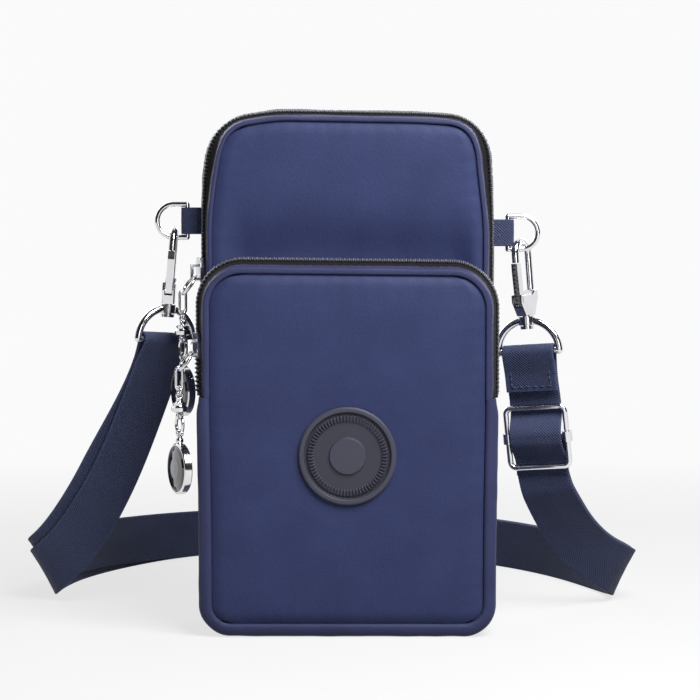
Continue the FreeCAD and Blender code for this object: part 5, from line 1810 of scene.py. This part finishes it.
@dataclass
class Badge(SubAssembly):
    """The round rubber badge: a raised rim, a ring of short ribs, a sunk band and a raised plain centre."""

    radius: float = 17.8
    hole: float = 0.3
    floor: float = 1.0
    top: float = 2.0
    disc: float = 6.8
    ribs_from: float = 12.3
    ribs_to: float = 14.7
    rib_end: float = 0.4
    rim_from: float = 15.6
    count: int = 72
    steps: int = 8

    def height(self, radius: Array, angle: Array) -> Array:
        """Height of the face: the floor, smooth steps up at the centre and the rim, and a wave for the ribs.

        A narrow bell-shaped moat is sunk inside the rim, and the outer edge is eased down.

        Args:
            radius: Distances from the middle.
            angle: Angles round it.

        Returns:
            Heights in millimetres.
        """
        rise = self.top - self.floor
        disc = 1 - smooth_step(radius, self.disc - 0.35, self.disc)
        rim = smooth_step(radius, self.rim_from, self.rim_from + 0.5)
        within = smooth_step(radius, self.ribs_from, self.ribs_from + self.rib_end)
        within = within * (1 - smooth_step(radius, self.ribs_to - self.rib_end, self.ribs_to))
        wave = smooth_step(np.cos(angle * self.count), -0.5, 0.7)
        moat = np.exp(-((radius - self.rim_from + 0.4) / 0.35) ** 2)
        edge = smooth_step(radius, self.radius - 0.5, self.radius)
        return self.floor + rise * (0.8 * disc + rim + 0.75 * within * wave - 0.3 * moat - 0.45 * edge)

    def build(self) -> None:
        """Make the badge: its face on a grid of radius and angle, its wall and its flat underside."""
        face = np.concatenate([
            np.linspace(self.hole, self.disc - 0.5, 6),
            np.linspace(self.disc - 0.4, self.disc + 0.05, 6),
            np.linspace(self.disc + 0.3, self.ribs_from - 0.3, 8),
            np.linspace(self.ribs_from, self.radius, 34),
        ])
        columns = self.count * self.steps
        ring, turn = np.meshgrid(face, np.arange(columns) / columns * TURN, indexing="ij")
        high = self.height(ring, turn)
        low = np.zeros_like(turn[:1])
        ring = np.concatenate([ring, low + self.radius, low + self.hole])
        turn = np.concatenate([turn, turn[:1], turn[:1]])
        high = np.concatenate([high, low, low])
        x = ring * np.cos(turn)
        z = SIZES.badge + ring * np.sin(turn)
        points = np.stack([x, SIZES.front - high, z], axis=-1)
        uv = np.stack([ring, high], axis=-1)
        mesh = PieceMesh(Patch(slope(points), np.concatenate([uv, uv[:, :1]], axis=1), closed=True))
        self.wardrobe.make("badge_face", mesh, Slot.BADGE, ON_BAG, ["badge"])


class Fittings(SubAssembly):
    """The metal pieces and the charms' stones, which keep the part's own solids."""

    def build(self) -> None:
        """Give each rigid node the finish of its slot."""
        for item in frame["record"]["subparts"]:
            slot = Slot(item["material_slot"])
            if slot not in RIGID_SLOTS:
                continue
            finish = self.wardrobe.by_slot[slot]
            mesh = frame["nodes"][item["node"]].data
            mesh.materials.clear()
            mesh.materials.append(finish)
            LOG.info("%s takes %s", item["node"], finish.name)


# Studio


@dataclass(frozen=True)
class Lamp:
    """A square soft lamp by its place in metres, the side of its square and its light in watts."""

    name: str
    place: Triple
    size: float
    power: float
    target: Triple = (0.0, 0.0, 0.09)

    def build(self) -> None:
        """Set the lamp up so that it looks at its target."""
        lamp = bpy.data.lights.new(self.name, "AREA")
        lamp.size = self.size
        lamp.energy = self.power
        holder = bpy.data.objects.new(self.name, lamp)
        aim = Vector(self.target) - Vector(self.place)
        holder.location = self.place
        holder.rotation_euler = aim.to_track_quat("-Z", "Y").to_euler()
        bpy.context.scene.collection.objects.link(holder)


@dataclass(frozen=True)
class Card:
    """A dark flat card outside the view that only reflections show, by a corner and two edges in metres."""

    name: str
    corner: Triple
    wide: Triple
    high: Triple
    tone: float

    def build(self) -> None:
        """Set the card up."""
        graph = Graph.material(self.name)
        graph.close({"Base Color": grey(self.tone), "Roughness": 0.9})
        share = np.linspace(0, 1, 3)[:, None]
        wide = share * np.array(self.wide)
        high = share * np.array(self.high)
        grid = np.array(self.corner) + wide[:, None] + high[None, :]
        card = PieceMesh(Patch(grid / MM, grid[..., :2])).to_object(self.name, graph.holder)
        card.visible_camera = False
        card.visible_diffuse = False
        card.visible_shadow = False


LAMPS = (
    Lamp("key_lamp", (0.22, -0.33, 0.53), size=0.36, power=6.0),
    Lamp("front_lamp", (0.35, -0.95, 0.22), size=0.3, power=1.1),
    Lamp("left_rear_lamp", (-0.45, 0.95, 0.5), size=0.5, power=2.6),
    Lamp("right_rear_lamp", (0.45, 0.95, 0.5), size=0.5, power=2.6),
)
CARDS = (
    Card("wall_behind_camera", (-1.6, -1.7, -0.1), (3.2, 0.0, 0.0), (0.0, 0.0, 1.6), tone=0.1),
    Card("ceiling", (-1.6, -1.7, 1.5), (3.2, 0.0, 0.0), (0.0, 2.0, 0.0), tone=0.15),
    Card("left_wall", (-1.6, -1.7, -0.1), (0.0, 1.9, 0.0), (0.0, 0.0, 1.6), tone=0.2),
    Card("right_wall", (1.6, -1.7, -0.1), (0.0, 1.9, 0.0), (0.0, 0.0, 1.6), tone=0.2),
)


@dataclass
class Studio:
    """Floor, lamps, surroundings and the camera at the photograph's angle."""

    eye: Triple = (0.0009, -0.932, 0.160)
    pitch_down: float = 3.475
    lens: float = 129.8
    paper: float = 0.75
    bounce: float = 0.18
    glow: float = 0.75
    pale: Triple = (0.955, 0.955, 0.96)
    fill: float = 0.07

    def build_floor(self) -> None:
        """A pale sheet that fades into the surroundings away from the object.

        To the camera and in reflections it is partly bright by itself, so that shadows on it stay light. It
        throws less light back at the object than its paleness would, least of all behind it, except at the
        front left.
        """
        graph = Graph.material("studio_paper")
        x, y, _ = graph.split(graph.object_point())
        away = (((x * x + y * y) ** 0.5 - 0.32) / 0.3).bounded()
        left = ((-x - 0.05) / 0.06).bounded()
        front = ((0.09 - y) / 0.06).bounded()
        seen = graph.seen_rays()
        white = graph.mix(graph.noise(waves=90.0, detail=2.0), grey(self.paper * 0.97), grey(self.paper))
        plain = graph.mix(front, grey(self.bounce * 0.2), grey(self.bounce))
        thrown = graph.mix(left * front, plain, grey(self.paper * 1.25))
        sheet = graph.node("ShaderNodeBsdfDiffuse", {"Color": graph.mix(seen, thrown, white)})
        glow = graph.node("ShaderNodeEmission", {"Color": shade(self.pale), "Strength": 1.0})
        share = (self.glow + away * (1 - self.glow)) * seen
        both = graph.node("ShaderNodeMixShader", {0: share, 1: sheet, 2: glow})
        graph.node("ShaderNodeOutputMaterial", {"Surface": both})
        across, along = np.meshgrid(np.linspace(-4000, 4000, 9), np.linspace(-2500, 6000, 9))
        grid = np.stack([across, along, np.zeros_like(across)], axis=-1)
        floor = PieceMesh(Patch(grid, grid[..., :2])).to_object("studio_floor", graph.holder)
        if floor.data.polygons[0].normal.z < 0:
            floor.data.flip_normals()

    def build_world(self) -> None:
        """Even light from all round, and a pale background to the camera and in reflections."""
        world = bpy.data.worlds.new("studio_world")
        graph = Graph(world)
        lit = graph.node("ShaderNodeBackground", {"Color": grey(1.0), "Strength": self.fill})
        shown = graph.node("ShaderNodeBackground", {"Color": shade(self.pale), "Strength": 1.0})
        both = graph.node("ShaderNodeMixShader", {0: graph.seen_rays(), 1: lit, 2: shown})
        graph.node("ShaderNodeOutputWorld", {"Surface": both})
        bpy.context.scene.world = world

    def build_camera(self) -> None:
        """The camera, at the photograph's place and angle."""
        camera = bpy.data.cameras.new("photo_camera")
        camera.lens = self.lens
        camera.sensor_width = 36.0
        camera.clip_end = 50.0
        holder = bpy.data.objects.new("photo_camera", camera)
        holder.location = self.eye
        holder.rotation_euler = (math.radians(90.0 - self.pitch_down), 0.0, 0.0)
        bpy.context.scene.collection.objects.link(holder)
        bpy.context.scene.camera = holder

    def build(self) -> None:
        """Make the whole set."""
        bpy.context.scene.view_settings.view_transform = "Standard"
        self.build_floor()
        self.build_world()
        for item in (*LAMPS, *CARDS):
            item.build()
        self.build_camera()


def write_sizes() -> None:
    """Bring the view layer up to date."""
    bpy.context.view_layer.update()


def main() -> None:
    """Build the set and every piece in order."""
    logging.basicConfig(level=logging.INFO, format="%(name)s: %(message)s")
    Studio().build()
    wardrobe = Wardrobe()
    assemblies = [
        Strap(wardrobe),
        Shell(wardrobe),
        *make_zips(wardrobe),
        SideTab(wardrobe, "left_tab_webbing", side=-1.0, height=151.0, node="left_tab"),
        SideTab(wardrobe, "right_tab_webbing", side=1.0, height=146.5, node="right_tab"),
        Badge(wardrobe),
        Fittings(wardrobe),
    ]
    for assembly in assemblies:
        assembly.build()
    write_sizes()


if __name__ == "__main__":
    main()
